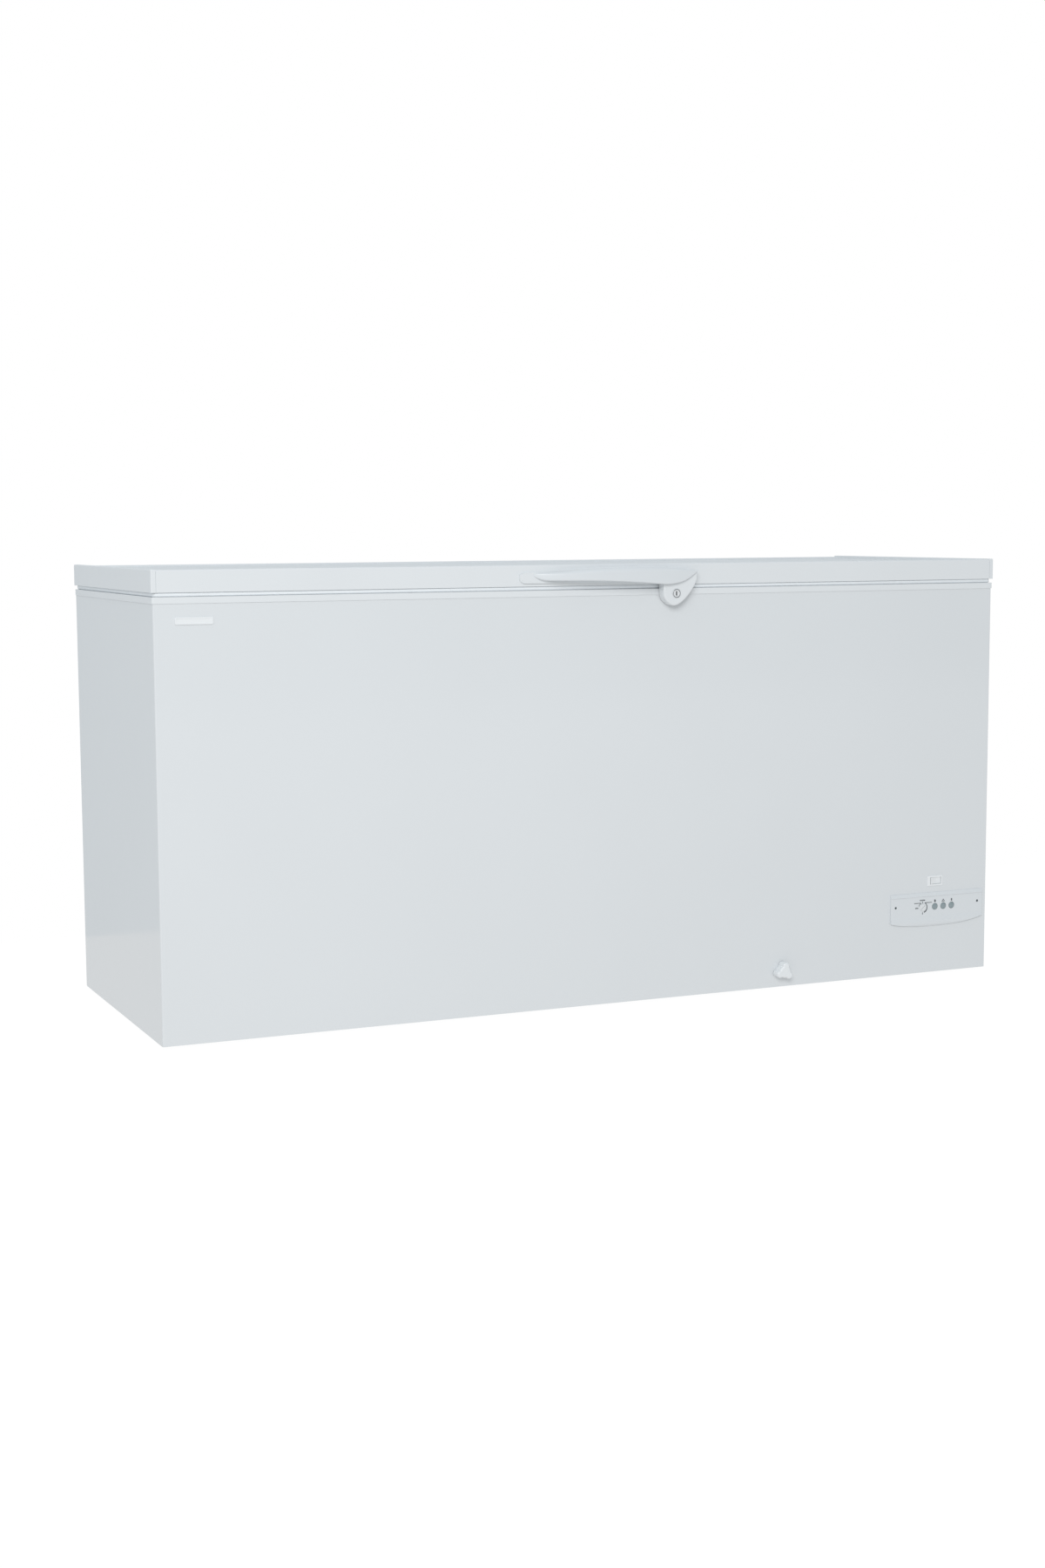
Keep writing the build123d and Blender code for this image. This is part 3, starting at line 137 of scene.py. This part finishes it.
def blend_colors(tree, value, first, second):
    node = tree.nodes.new("ShaderNodeMix")
    node.data_type = "RGBA"
    # sockets 6 and 7 and output 2 are the Mix node's colours
    node.inputs[6].default_value = (*first, 1)
    node.inputs[7].default_value = (*second, 1)
    tree.links.new(value, node.inputs[0])
    return node.outputs[2]


def bump(tree, height, distance, strength=1.0, after=None):
    node = tree.nodes.new("ShaderNodeBump")
    node.inputs["Distance"].default_value = distance
    node.inputs["Strength"].default_value = strength
    tree.links.new(height, node.inputs["Height"])
    if after:
        tree.links.new(after, node.inputs["Normal"])
    return node.outputs["Normal"]


def finish_material(material, color=None, roughness=None, normal=None):
    tree = material.node_tree
    shader = tree.nodes["Principled BSDF"]
    if color:
        tree.links.new(color, shader.inputs["Base Color"])
    if roughness:
        tree.links.new(roughness, shader.inputs["Roughness"])
    if normal:
        tree.links.new(normal, shader.inputs["Normal"])
    return material


def enamel(name, color, roughness=0.1, peel_depth=0.00001):
    """Stoved enamel on sheet steel: faint orange peel and a very slow drift of tone."""
    material = new_material(name, color, roughness)
    tree = material.node_tree
    tone = blend_colors(tree, remap(tree, noise(tree, 2.2, 3), 0, 1), color, shade(color, 0.985))
    gloss = remap(tree, noise(tree, 60, 3), roughness - 0.02, roughness + 0.03)
    peel = bump(tree, noise(tree, 300, 1), peel_depth)
    slow = bump(tree, noise(tree, 4, 1), peel_depth * 50, 0.1, peel)
    return finish_material(material, tone, gloss, slow)


def moulded(name, color, roughness=0.24, grain=1500, depth=0.000008):
    """Moulded plastic: fine spark grain, slight variation of gloss and tone."""
    material = new_material(name, color, roughness)
    tree = material.node_tree
    tone = blend_colors(tree, remap(tree, noise(tree, 5, 3), 0, 1), color, shade(color, 0.985))
    gloss = remap(tree, noise(tree, 40, 2), roughness - 0.015, roughness + 0.025)
    return finish_material(material, tone, gloss, bump(tree, noise(tree, grain, 1), depth, 0.5))


def zinc(name):
    """Galvanised sheet: crystal spangle in tone and gloss, rolling lines in the surface."""
    color, roughness = (0.62, 0.64, 0.65), 0.42
    material = new_material(name, color, roughness, metallic=1.0)
    tree = material.node_tree
    grains = cells(tree, 70).outputs["Color"]
    spread = tree.nodes.new("ShaderNodeSeparateColor")
    tree.links.new(grains, spread.inputs["Color"])
    tone = blend_colors(tree, spread.outputs["Red"], color, shade(color, 0.88))
    gloss = remap(tree, spread.outputs["Green"], roughness - 0.1, roughness + 0.12, 0, 1)
    rolled = bump(tree, noise(tree, 90, 2, (1, 14, 14)), 0.00004)
    return finish_material(material, tone, gloss, rolled)


def metal(name, color, roughness, streak=(6, 60, 60), depth=0.00001):
    """Drawn or turned metal: fine lines in gloss and surface."""
    material = new_material(name, color, roughness, metallic=1.0)
    tree = material.node_tree
    lines = noise(tree, 120, 2, streak)
    gloss = remap(tree, lines, roughness - 0.05, roughness + 0.08)
    tone = blend_colors(tree, remap(tree, noise(tree, 40, 3), 0, 1), color, shade(color, 0.88))
    return finish_material(material, tone, gloss, bump(tree, lines, depth))


def stucco(name, color):
    """Coated liner sheet with an embossed leather-grain pattern a few millimetres across."""
    material = new_material(name, color, 0.34)
    tree = material.node_tree
    pattern = cells(tree, 260, "SMOOTH_F1").outputs["Distance"]
    tone = blend_colors(tree, remap(tree, pattern, 0, 1, 0, 0.7), color, shade(color, 0.93))
    gloss = remap(tree, noise(tree, 20, 3), 0.3, 0.42)
    return finish_material(material, tone, gloss, bump(tree, pattern, 0.0006, 0.6))


def soft_rubber(name, color):
    """Dull rubber or soft plastic with a very fine grain."""
    roughness = 0.55
    material = new_material(name, color, roughness)
    tree = material.node_tree
    tone = blend_colors(tree, remap(tree, noise(tree, 12, 3), 0, 1), color, shade(color, 0.97))
    gloss = remap(tree, noise(tree, 60, 3), roughness - 0.03, roughness + 0.05)
    return finish_material(material, tone, gloss, bump(tree, noise(tree, 700, 1), 0.00002))


def foam_block(name):
    """Poured foam: small bubbles, yellower in patches."""
    fresh, aged = (0.80, 0.72, 0.48), (0.70, 0.60, 0.36)
    material = new_material(name, fresh, 0.85)
    tree = material.node_tree
    bubbles = cells(tree, 700).outputs["Distance"]
    tone = blend_colors(tree, remap(tree, noise(tree, 12, 4), 0, 1), fresh, aged)
    return finish_material(material, tone, None, bump(tree, bubbles, 0.0005, 0.5))


def lamp_lens(name):
    """Tinted lens with a facetted inside that shows through as fine cells of tone."""
    material = new_material(name, (0.26, 0.33, 0.35), 0.18, Coat_Weight=0.6, Coat_Roughness=0.05)
    tree = material.node_tree
    facets = cells(tree, 900).outputs["Distance"]
    tone = blend_colors(tree, remap(tree, facets, 0, 1, 0, 0.8), (0.35, 0.42, 0.44), (0.24, 0.30, 0.32))
    return finish_material(material, tone, None, bump(tree, facets, 0.0002, 0.3))


def plated(name):
    """Bright satin plating with a fine grain of gloss."""
    color = (0.93, 0.94, 0.95)
    material = new_material(name, color, 0.2, metallic=0.35)
    tree = material.node_tree
    gloss = remap(tree, noise(tree, 900, 1), 0.16, 0.25)
    tone = blend_colors(tree, remap(tree, noise(tree, 300, 2), 0, 1), color, shade(color, 0.95))
    return finish_material(material, tone, gloss, bump(tree, noise(tree, 2500, 1), 0.000004))


# Colours are linear. No gloss range crosses a roughness of 0.274: renders there are blotchy.
WHITE = (0.78, 0.805, 0.82)
MATERIALS = {
    "painted_steel": enamel("painted_steel", WHITE),
    "white_plastic": moulded("white_plastic", (0.805, 0.83, 0.845), 0.32),
    "panel_plastic": moulded("panel_plastic", (0.77, 0.80, 0.82), 0.3, 1900),
    "knob_plastic": moulded("knob_plastic", (0.80, 0.82, 0.83), 0.22, 2200),
    "liner_aluminium": stucco("liner_aluminium", (0.82, 0.84, 0.85)),
    "galvanised": zinc("galvanised"),
    "foam": foam_block("foam"),
    "copper": metal("copper", (0.72, 0.36, 0.22), 0.35),
    "black_enamel": enamel("black_enamel", (0.02, 0.02, 0.022), 0.35),
    "black_plastic": moulded("black_plastic", (0.025, 0.025, 0.027), 0.5),
    "gasket_rubber": soft_rubber("gasket_rubber", (0.88, 0.915, 0.94)),
    "rubber": soft_rubber("rubber", (0.03, 0.03, 0.03)),
    "lens": lamp_lens("lens"),
    "chrome": metal("chrome", (0.93, 0.94, 0.95), 0.16, (30, 30, 30), 0.000003),
    "zinc_screw": metal("zinc_screw", (0.70, 0.71, 0.72), 0.18, (40, 40, 40)),
    "blue_plastic": moulded("blue_plastic", (0.78, 0.81, 0.84), 0.38),
}
DARK_INK, LIGHT_INK = (0.09, 0.10, 0.11), (0.15, 0.16, 0.17)
INK = new_material("ink", DARK_INK, 0.5)
finish_material(INK, blend_colors(INK.node_tree, noise(INK.node_tree, 900, 2), DARK_INK, LIGHT_INK))

# nodes whose finish differs a little from the rest of their material slot
SPECIAL = {
    "lid_top_panel": enamel("lid_panel_enamel", WHITE, 0.32, 0.000004),
    "lock_barrel": plated("lock_plating"),
    "lock_plug": plated("plug_plating"),
    "badge_plate": moulded("badge_plastic", (0.88, 0.90, 0.91), 0.15, 2200, 0.000004),
    "panel_screws": moulded("dark_screw", (0.11, 0.13, 0.14), 0.4, 2200),
    "switch_bezel": moulded("switch_plastic", (0.90, 0.92, 0.93), 0.22, 2200, 0.000006),
    "switch_rocker": moulded("rocker_plastic", (0.87, 0.89, 0.90), 0.2, 2200, 0.000006),
    "drain_cap": moulded("cap_plastic", (0.86, 0.885, 0.90), 0.2, 1800, 0.000006),
}
SLOT_OF = {row["node"]: row["material_slot"] for row in frame["record"]["subparts"]}
for node_name, node in NODES.items():
    node.data.materials.clear()
    node.data.materials.append(SPECIAL.get(node_name) or MATERIALS[SLOT_OF[node_name]])


# ---------------------------------------------------------------- mesh helpers
def centre(node):
    low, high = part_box(node)
    return (Vector(low) + Vector(high)) / 2


def add_object(name, mesh, body, slot, material=None):
    piece = bpy.data.objects.new(name, mesh)
    bpy.context.scene.collection.objects.link(piece)
    mesh.materials.append(material or MATERIALS[slot])
    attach(piece, body)
    return piece


def loft(name, rings, body, slot, levels, closed=False, material=None):
    """A smooth skin over rings of points, capped at both ends unless the rings close on themselves."""
    mesh = bpy.data.meshes.new(name)
    bm = bmesh.new()
    loops = [[bm.verts.new(p) for p in ring] for ring in rings]
    count = len(loops[0])
    pairs = list(zip(loops, loops[1:]))
    if closed:
        pairs.append((loops[-1], loops[0]))
    for a, b in pairs:
        for i in range(count):
            j = (i + 1) % count
            bm.faces.new((a[i], a[j], b[j], b[i]))
    if not closed:
        bm.faces.new(loops[0][::-1])
        bm.faces.new(loops[-1])
    bmesh.ops.recalc_face_normals(bm, faces=bm.faces)
    for face in bm.faces:
        face.smooth = True
    bm.to_mesh(mesh)
    bm.free()
    piece = add_object(name, mesh, body, slot, material)
    if levels:
        smoother = piece.modifiers.new("smooth", "SUBSURF")
        smoother.levels = smoother.render_levels = levels
    return piece


def curve_value(points, x):
    """Smooth interpolation through points (Catmull-Rom on uneven spacing)."""
    if x <= points[0][0]:
        return points[0][1]
    if x >= points[-1][0]:
        return points[-1][1]
    k = max(i for i in range(len(points) - 1) if points[i][0] <= x)
    (x0, y0), (x1, y1) = points[k], points[k + 1]

    def slope(i):
        a, b = points[max(i - 1, 0)], points[min(i + 1, len(points) - 1)]
        return (b[1] - a[1]) / (b[0] - a[0])

    h = x1 - x0
    t = (x - x0) / h
    m0, m1 = slope(k) * h, slope(k + 1) * h
    return (
        (2 * t**3 - 3 * t**2 + 1) * y0 + (t**3 - 2 * t**2 + t) * m0
        + (-2 * t**3 + 3 * t**2) * y1 + (t**3 - t**2) * m1
    )


# ---------------------------------------------------------------- handle grip
# distances along the grip from its left tip, in millimetres
GRIP_LENGTH = 349.5
GRIP_STATIONS = (
    [0, 1.2, 3, 6, 10, 16, 24, 34] + [46 + 14 * i for i in range(17)]
    + [282, 294, 306, 316, 325, 333, 340, 345, 348, GRIP_LENGTH]
)
BEVEL_START = 4
BEVEL_HEIGHT = 5.5  # of the bevel along the top edge, where it is tallest
NO_BEVEL = 0.1
EDGE_ROUND, BACK_ROUND, CREASE_ROUND = 2.6, 1.6, 0.7
PLATE_BEHIND, LOBE_BEHIND = 33, 16  # how far the base's plate and its lock lobe lie behind the grip's front


def grip_ring(front, back, top, bottom, bevel):
    """One section of the grip in y and z: up its face, over the bevel and down its back."""
    tall, deep = max(top - bottom, 0.2), back - front
    bevel = min(bevel, tall * 0.35)
    crease = top - bevel
    run = min(bevel * 1.5, deep * 0.55)
    r = min(EDGE_ROUND, tall * 0.3, deep * 0.35)
    shoulder = min(BACK_ROUND, (deep - run) * 0.3)
    drop = min(BACK_ROUND, tall * 0.2)
    return [
        (front + r, bottom), (front + r * 0.3, bottom + r * 0.3), (front, bottom + r),
        (front, (bottom + crease) / 2), (front, crease - min(CREASE_ROUND, tall * 0.1)),
        (front + min(CREASE_ROUND, run * 0.4), crease + min(0.4, bevel * 0.3)),
        (front + run * 0.6, top - bevel * 0.38), (front + run, top - min(0.4, bevel * 0.1)),
        (front + run + shoulder, top), (back - shoulder, top),
        (back, top - drop), (back, (top + bottom) / 2), (back, bottom + drop),
        (back - min(BACK_ROUND, deep * 0.25), bottom),
    ]


def make_grip():
    """The bow of the handle: a leaf-shaped face with a bevel along its top, running onto the lock lobe."""
    low, high = (Vector(corner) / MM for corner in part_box("handle_grip"))
    front, top, bottom = low.y, high.z, low.z
    plate, lobe = front + PLATE_BEHIND, front + LOBE_BEHIND
    # where each edge of the section lies, in y or z, at distances along the grip
    face_edge = [
        (0, plate - 1.5), (8, plate - 4.4), (20.5, plate - 10), (61.5, plate - 22.5), (120.5, plate - 30.7),
        (178.5, front), (238.5, front + 1.5), (298.5, front + 6), (GRIP_LENGTH, front + 12.5),
    ]
    back_edge = [
        (0, plate + 0.8), (32, plate + 0.8), (70.5, plate - 13), (116.5, plate - 20), (170.5, plate - 22),
        (224.5, plate - 20.5), (274, lobe - 0.2), (GRIP_LENGTH, lobe - 0.2),
    ]
    top_edge = [
        (0, top - 12.6), (4, top - 10.6), (40.5, top - 8.3), (94.5, top - 4.2), (146.5, top - 1.5),
        (218.5, top), (288.5, top - 2.2), (GRIP_LENGTH, top - 7.8),
    ]
    bottom_edge = [
        (0, bottom + 19.5), (6, bottom + 15.3), (13, bottom + 12.2), (22.5, bottom + 10.2),
        (124.5, bottom + 8.9), (214.5, bottom + 4.7), (274.5, bottom), (292.5, bottom + 0.8),
        (316, bottom + 5.3), (331, bottom + 12.7), (345.5, bottom + 22.9), (GRIP_LENGTH, bottom + 26.5),
    ]
    edges = (face_edge, back_edge, top_edge, bottom_edge)
    rings = []
    for s in GRIP_STATIONS:
        x = low.x + s * (high.x - low.x) / GRIP_LENGTH
        near, far, upper, lower = (curve_value(points, s) for points in edges)
        bevel = NO_BEVEL
        if BEVEL_START < s < GRIP_LENGTH:
            along = (s - BEVEL_START) / (GRIP_LENGTH - BEVEL_START)
            bevel = BEVEL_HEIGHT * math.sin(math.pi * along) ** 0.5
        section = grip_ring(near, max(far, near + 0.6), upper, lower, bevel)
        rings.append([(x * MM, y * MM, z * MM) for y, z in section])
    # a darker copy of the white plastic: painted shade, so that the grip's face is a little duller than the
    # lid's front
    shaded_grip_plastic = moulded("grip_plastic_painted_shade", (0.765, 0.795, 0.815), 0.3)
    grip = loft("grip", rings, "lid", "white_plastic", 2, material=shaded_grip_plastic)
    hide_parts("handle_grip")


make_grip()


# ---------------------------------------------------------------- lid gasket
GASKET_CORNER, CORNER_STEPS = 6.0, 5


def make_gasket():
    """A bellows gasket: a bulge between two grooves, run round the lid with small corner bends."""
    low, high = (Vector(corner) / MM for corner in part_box("lid_gasket"))
    half_x, half_y, z0, z1 = high.x, high.y, low.z, high.z
    # the section, as distances out from the gasket's box and heights
    section = [
        (-14, z0), (0.9, z0), (0.9, z0 + 0.6), (1.7, z0 + 0.9), (2.4, z0 + 1.2), (2.8, z0 + 1.6),
        (2.9, z0 + 2.3), (2.9, z0 + 4.1), (2.9, z0 + 5.9), (2.8, z0 + 6.6), (2.4, z0 + 7.0),
        (1.7, z0 + 7.3), (0.9, z0 + 7.6), (0.9, z1), (-14, z1),
    ]
    corner = GASKET_CORNER
    rings = []
    for k, (sx, sy) in enumerate(((1, -1), (1, 1), (-1, 1), (-1, -1))):
        middle_x, middle_y = sx * (half_x - corner), sy * (half_y - corner)
        for step in range(CORNER_STEPS + 1):
            turn = math.radians(-90 + 90 * k + 90 / CORNER_STEPS * step)
            out_x, out_y = math.cos(turn), math.sin(turn)
            rings.append([
                ((middle_x + out_x * (corner + d)) * MM, (middle_y + out_y * (corner + d)) * MM, z * MM)
                for d, z in section
            ])
    gasket = loft("gasket_bellows", rings, "lid", "gasket_rubber", 0, closed=True)
    for face in gasket.data.polygons:
        face.use_smooth = abs(face.normal.z) < 0.9
    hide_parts("lid_gasket")


make_gasket()


# ---------------------------------------------------------------- printed marks, key way and seams
def plates(name, outlines, y, depth, body, slot, material=None):
    """Thin raised shapes, from outlines in x and z: their backs are at y and their faces in front of it."""
    mesh = bpy.data.meshes.new(name)
    bm = bmesh.new()
    for outline in outlines:
        back = [bm.verts.new((px, y, pz)) for px, pz in outline]
        front = [bm.verts.new((px, y - depth, pz)) for px, pz in outline]
        bm.faces.new(back)
        bm.faces.new(front[::-1])
        for i in range(len(outline)):
            j = (i + 1) % len(outline)
            bm.faces.new((back[j], back[i], front[i], front[j]))
    bmesh.ops.recalc_face_normals(bm, faces=bm.faces)
    bm.to_mesh(mesh)
    bm.free()
    return add_object(name, mesh, body, slot, material)


def rect(x, z, x0, x1, z0, z1):
    """A rectangle's outline, from offsets in millimetres from a point."""
    corners = ((x0, z0), (x1, z0), (x1, z1), (x0, z1))
    return [(x + dx * MM, z + dz * MM) for dx, dz in corners]


def arc(x, z, radius, start, end, thick_start, thick_end, steps=28):
    """A curved stripe from one angle to another, in degrees, whose thickness may grow along it."""
    outside, inside = [], []
    for i in range(steps + 1):
        t = i / steps
        a = math.radians(start + (end - start) * t)
        half = (thick_start + (thick_end - thick_start) * t) / 2
        outside.append((x + (radius + half) * MM * math.cos(a), z + (radius + half) * MM * math.sin(a)))
        inside.append((x + (radius - half) * MM * math.cos(a), z + (radius - half) * MM * math.sin(a)))
    return outside + inside[::-1]


def oval(x, z, half_x, half_z, steps=24):
    """An oval's outline, from half its width and height in millimetres."""
    turns = (2 * math.pi * i / steps for i in range(steps))
    return [(x + half_x * MM * math.cos(turn), z + half_z * MM * math.sin(turn)) for turn in turns]


FIELD_SUNK = 1.7 * MM  # how far the panel's field lies behind its lip
LAMP_RADIUS = 8 * MM
SIGN_RISE = 12 * MM  # from the lamps' middle up to their signs
MARK_THICKNESS = 0.16 * MM


def make_panel_marks():
    """The scale round the knob and a sign over each lamp, all plain shapes."""
    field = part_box("control_panel")[0][1] + FIELD_SUNK
    knob = centre("thermostat_knob")
    low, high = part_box("pilot_lamps")
    x, z = knob.x, knob.z
    marks = [
        rect(x, z, -21, -4, 9.0, 10.2), rect(x, z, 5, 23.5, 9.1, 10.3),
        rect(x, z, -0.6, 0.6, 8.7, 12.7), rect(x, z, -0.7, 0.7, -14.9, -10.9),
        arc(x, z, 11.2, 60, -70, 1.2, 2.4), arc(x, z, 9.9, 109, 163, 1.0, 1.0),
    ]
    # short rows of blocks where a scale has its figures
    marks += [rect(x, z, -7 + 2.7 * i, -5 + 2.7 * i, 14.3, 16.6) for i in range(5)]
    marks += [rect(x, z, -18 + 2.6 * i, -16.2 + 2.6 * i, -2.2, 0.4) for i in range(3)]
    lamps = [low[0] + LAMP_RADIUS, (low[0] + high[0]) / 2, high[0] - LAMP_RADIUS]
    above = (low[2] + high[2]) / 2 + SIGN_RISE
    marks.append(oval(lamps[0], above, 2.1, 3.0))
    # a hollow triangle, one side at a time
    corners = [(-4.2, -2.7), (4.2, -2.7), (0, 3.2)]
    inner = [(-2.2, -1.6), (2.2, -1.6), (0, 1.4)]
    for i in range(3):
        j = (i + 1) % 3
        side = (corners[i], corners[j], inner[j], inner[i])
        marks.append([(lamps[1] + px * MM, above + pz * MM) for px, pz in side])
    marks.append(rect(lamps[2], above, -1.5, 1.5, -2.7, 2.7))
    plates("panel_marks", marks, field, MARK_THICKNESS, "cabinet", "black_plastic", INK)


make_panel_marks()


# the dark plate painted as shade at the bottom of the key way
KEY_WAY_SHADE_SUNK = 0.4 * MM
KEY_WAY_SHADE_THICKNESS = 0.2 * MM
# the dark ring painted as shade near the edge of the lock barrel's flange
SHADE_RING_RADIUS, SHADE_RING_WIDTH = 7.7, 1.2
SHADE_RING_THICKNESS = 0.06 * MM


def make_lock_shadows():
    """Painted shade: a dark plate for the unlit bottom of the key way, and a dark ring painted as shade
    near the edge of the barrel's flange.
    """
    plug_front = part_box("lock_plug")[0][1]
    flange_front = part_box("lock_barrel")[0][1]
    barrel = centre("lock_barrel")
    # a dark plate painted as shade in the key way
    slot = rect(barrel.x, barrel.z, -1.3, 1.3, -4.3, 4.3)
    plates("key_way_painted_shade", [slot], plug_front + KEY_WAY_SHADE_SUNK, KEY_WAY_SHADE_THICKNESS, "lock", "black_plastic")
    # a ring of ink painted as shade near the edge of the barrel's flange
    shade_ring = [
        arc(barrel.x, barrel.z, SHADE_RING_RADIUS, start, start + 180, SHADE_RING_WIDTH, SHADE_RING_WIDTH)
        for start in (0, 180)
    ]
    plates("lock_ring_painted_shade", shade_ring, flange_front, SHADE_RING_THICKNESS, "lid", "black_plastic", INK)


SEAM_THICKNESS = 0.05 * MM


def make_trim_seams():
    """The shadow in the joint between the lid's front trim and the side trims that cover its ends."""
    low, high = (Vector(corner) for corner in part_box("lid_front_trim"))
    seams = [rect(x, 0, -0.25, 0.25, low.z / MM + 1, high.z / MM - 2.5) for x in (low.x, high.x)]
    grey = moulded("seam_shadow", (0.50, 0.54, 0.56), 0.5)
    plates("trim_seams", seams, low.y, SEAM_THICKNESS, "lid", "white_plastic", grey)


make_lock_shadows()
make_trim_seams()


# ---------------------------------------------------------------- softened edges
WELD_DISTANCE = 0.01 * MM
BEVEL_SEGMENTS = 3
BEVEL_ANGLE = math.radians(35)
BEVEL_WIDTHS = {
    "lid_left_trim": 0.9, "lid_right_trim": 0.9, "lid_front_trim": 0.9, "lid_rear_trim": 0.9,
    "rim_front": 1.2, "rim_rear": 1.2, "rim_left": 1.2, "rim_right": 1.2,
    "handle_base": 0.9, "control_panel": 0.6, "switch_bezel": 0.5, "switch_rocker": 0.5,
    "badge_plate": 0.4, "side_grille": 0.6, "rear_cover": 0.4, "lid_liner": 0.8, "drain_cap": 0.5,
}


def soften(node, width):
    """Small rounds on a moulded or folded part, once the CAD mesh's doubled points are welded."""
    weld = NODES[node].modifiers.new("weld", "WELD")
    weld.merge_threshold = WELD_DISTANCE
    bevel = NODES[node].modifiers.new("edge", "BEVEL")
    bevel.width = width * MM
    bevel.segments = BEVEL_SEGMENTS
    bevel.limit_method = "ANGLE"
    bevel.angle_limit = BEVEL_ANGLE
    normals = NODES[node].modifiers.new("normals", "WEIGHTED_NORMAL")
    normals.keep_sharp = True


for node_name, width in BEVEL_WIDTHS.items():
    soften(node_name, width)


# ---------------------------------------------------------------- stage and light
SWEEP_SIDE, SWEEP_FRONT = 7.0, -8.0
SWEEP_END = 0.92  # where the sweep ends behind the cabinet, which the paint's gloss shows
FLOOR_GLOW_SEEN, FLOOR_GLOW_MIRRORED, FLOOR_BOUNCE = 0.97, 0.78, 0.66
# strength of the room's light from all round, and how much each side adds
ROOM = {"base": 0.44, "up": 0.2, "front": 0.02, "back": 0.27, "left": 0.1, "right": 0.06}
ROOM_TINT = (0.925, 0.98, 1.02)
KEY_PLACE, KEY_AIM, KEY_SIZE, KEY_POWER = (-2.4, -4.8, 2.9), (-0.6, -0.3, 0.4), (2.4, 2.0), 114


def ray_kind(tree, kind):
    return tree.nodes.new("ShaderNodeLightPath").outputs[kind]


def math_node(tree, operation, *values):
    node = tree.nodes.new("ShaderNodeMath")
    node.operation = operation
    for socket, value in zip(node.inputs, values):
        if isinstance(value, (int, float)):
            socket.default_value = value
        else:
            tree.links.new(value, socket)
    return node.outputs["Value"]


def make_stage():
    """A white sweep under and round the cabinet, lit a little from within so that it stays plain white."""
    mesh = bpy.data.meshes.new("floor")
    near = [(-SWEEP_SIDE, SWEEP_FRONT, 0), (SWEEP_SIDE, SWEEP_FRONT, 0)]
    far = [(SWEEP_SIDE, SWEEP_END, 0), (-SWEEP_SIDE, SWEEP_END, 0)]
    mesh.from_pydata(near + far, [], [(0, 1, 2, 3)])
    floor = bpy.data.objects.new("floor", mesh)
    bpy.context.scene.collection.objects.link(floor)
    material = new_material("floor", (0.06, 0.06, 0.06), 0.9, Specular_IOR_Level=0.0)
    tree = material.node_tree
    shader = tree.nodes["Principled BSDF"]
    shader.inputs["Emission Color"].default_value = (1, 1, 1, 1)
    seen = math_node(tree, "MULTIPLY", ray_kind(tree, "Is Camera Ray"), FLOOR_GLOW_SEEN)
    mirrored = math_node(tree, "MULTIPLY_ADD", ray_kind(tree, "Is Glossy Ray"), FLOOR_GLOW_MIRRORED, seen)
    glow = math_node(tree, "MULTIPLY_ADD", ray_kind(tree, "Is Diffuse Ray"), FLOOR_BOUNCE, mirrored)
    tree.links.new(glow, shader.inputs["Emission Strength"])
    material.cycles.emission_sampling = "NONE"
    mesh.materials.append(material)


def area_light(name, place, aim, size, power):
    data = bpy.data.lights.new(name, "AREA")
    data.shape = "RECTANGLE"
    data.size, data.size_y = size
    data.energy = power
    light = bpy.data.objects.new(name, data)
    bpy.context.scene.collection.objects.link(light)
    light.location = place
    light.rotation_euler = (Vector(aim) - Vector(place)).to_track_quat("-Z", "Y").to_euler()


def make_world():
    """Plain white where it is seen directly, and a soft room with slightly different walls as a light."""
    world = bpy.data.worlds.new("studio")
    bpy.context.scene.world = world
    world.use_nodes = True
    tree = world.node_tree
    background = tree.nodes["Background"]
    parts = tree.nodes.new("ShaderNodeSeparateXYZ")
    tree.links.new(tree.nodes.new("ShaderNodeTexCoord").outputs["Generated"], parts.inputs["Vector"])
    room = ROOM["base"]
    walls = (("Z", 1, "up"), ("Y", -1, "front"), ("Y", 1, "back"), ("X", -1, "left"), ("X", 1, "right"))
    for axis, sign, wall in walls:
        towards = math_node(tree, "MAXIMUM", math_node(tree, "MULTIPLY", parts.outputs[axis], sign), 0.0)
        room = math_node(tree, "MULTIPLY_ADD", towards, ROOM[wall], room)
    seen = ray_kind(tree, "Is Camera Ray")
    # a Mix node between the room's strength and 1 for what the camera sees directly
    level = tree.nodes.new("ShaderNodeMix")
    level.inputs[3].default_value = 1.0
    tree.links.new(seen, level.inputs[0])
    tree.links.new(room, level.inputs[2])
    tree.links.new(level.outputs[0], background.inputs["Strength"])
    tree.links.new(blend_colors(tree, seen, ROOM_TINT, (1, 1, 1)), background.inputs["Color"])


make_stage()
make_world()
area_light("key", KEY_PLACE, KEY_AIM, KEY_SIZE, KEY_POWER)
bpy.context.scene.view_settings.view_transform = "Standard"
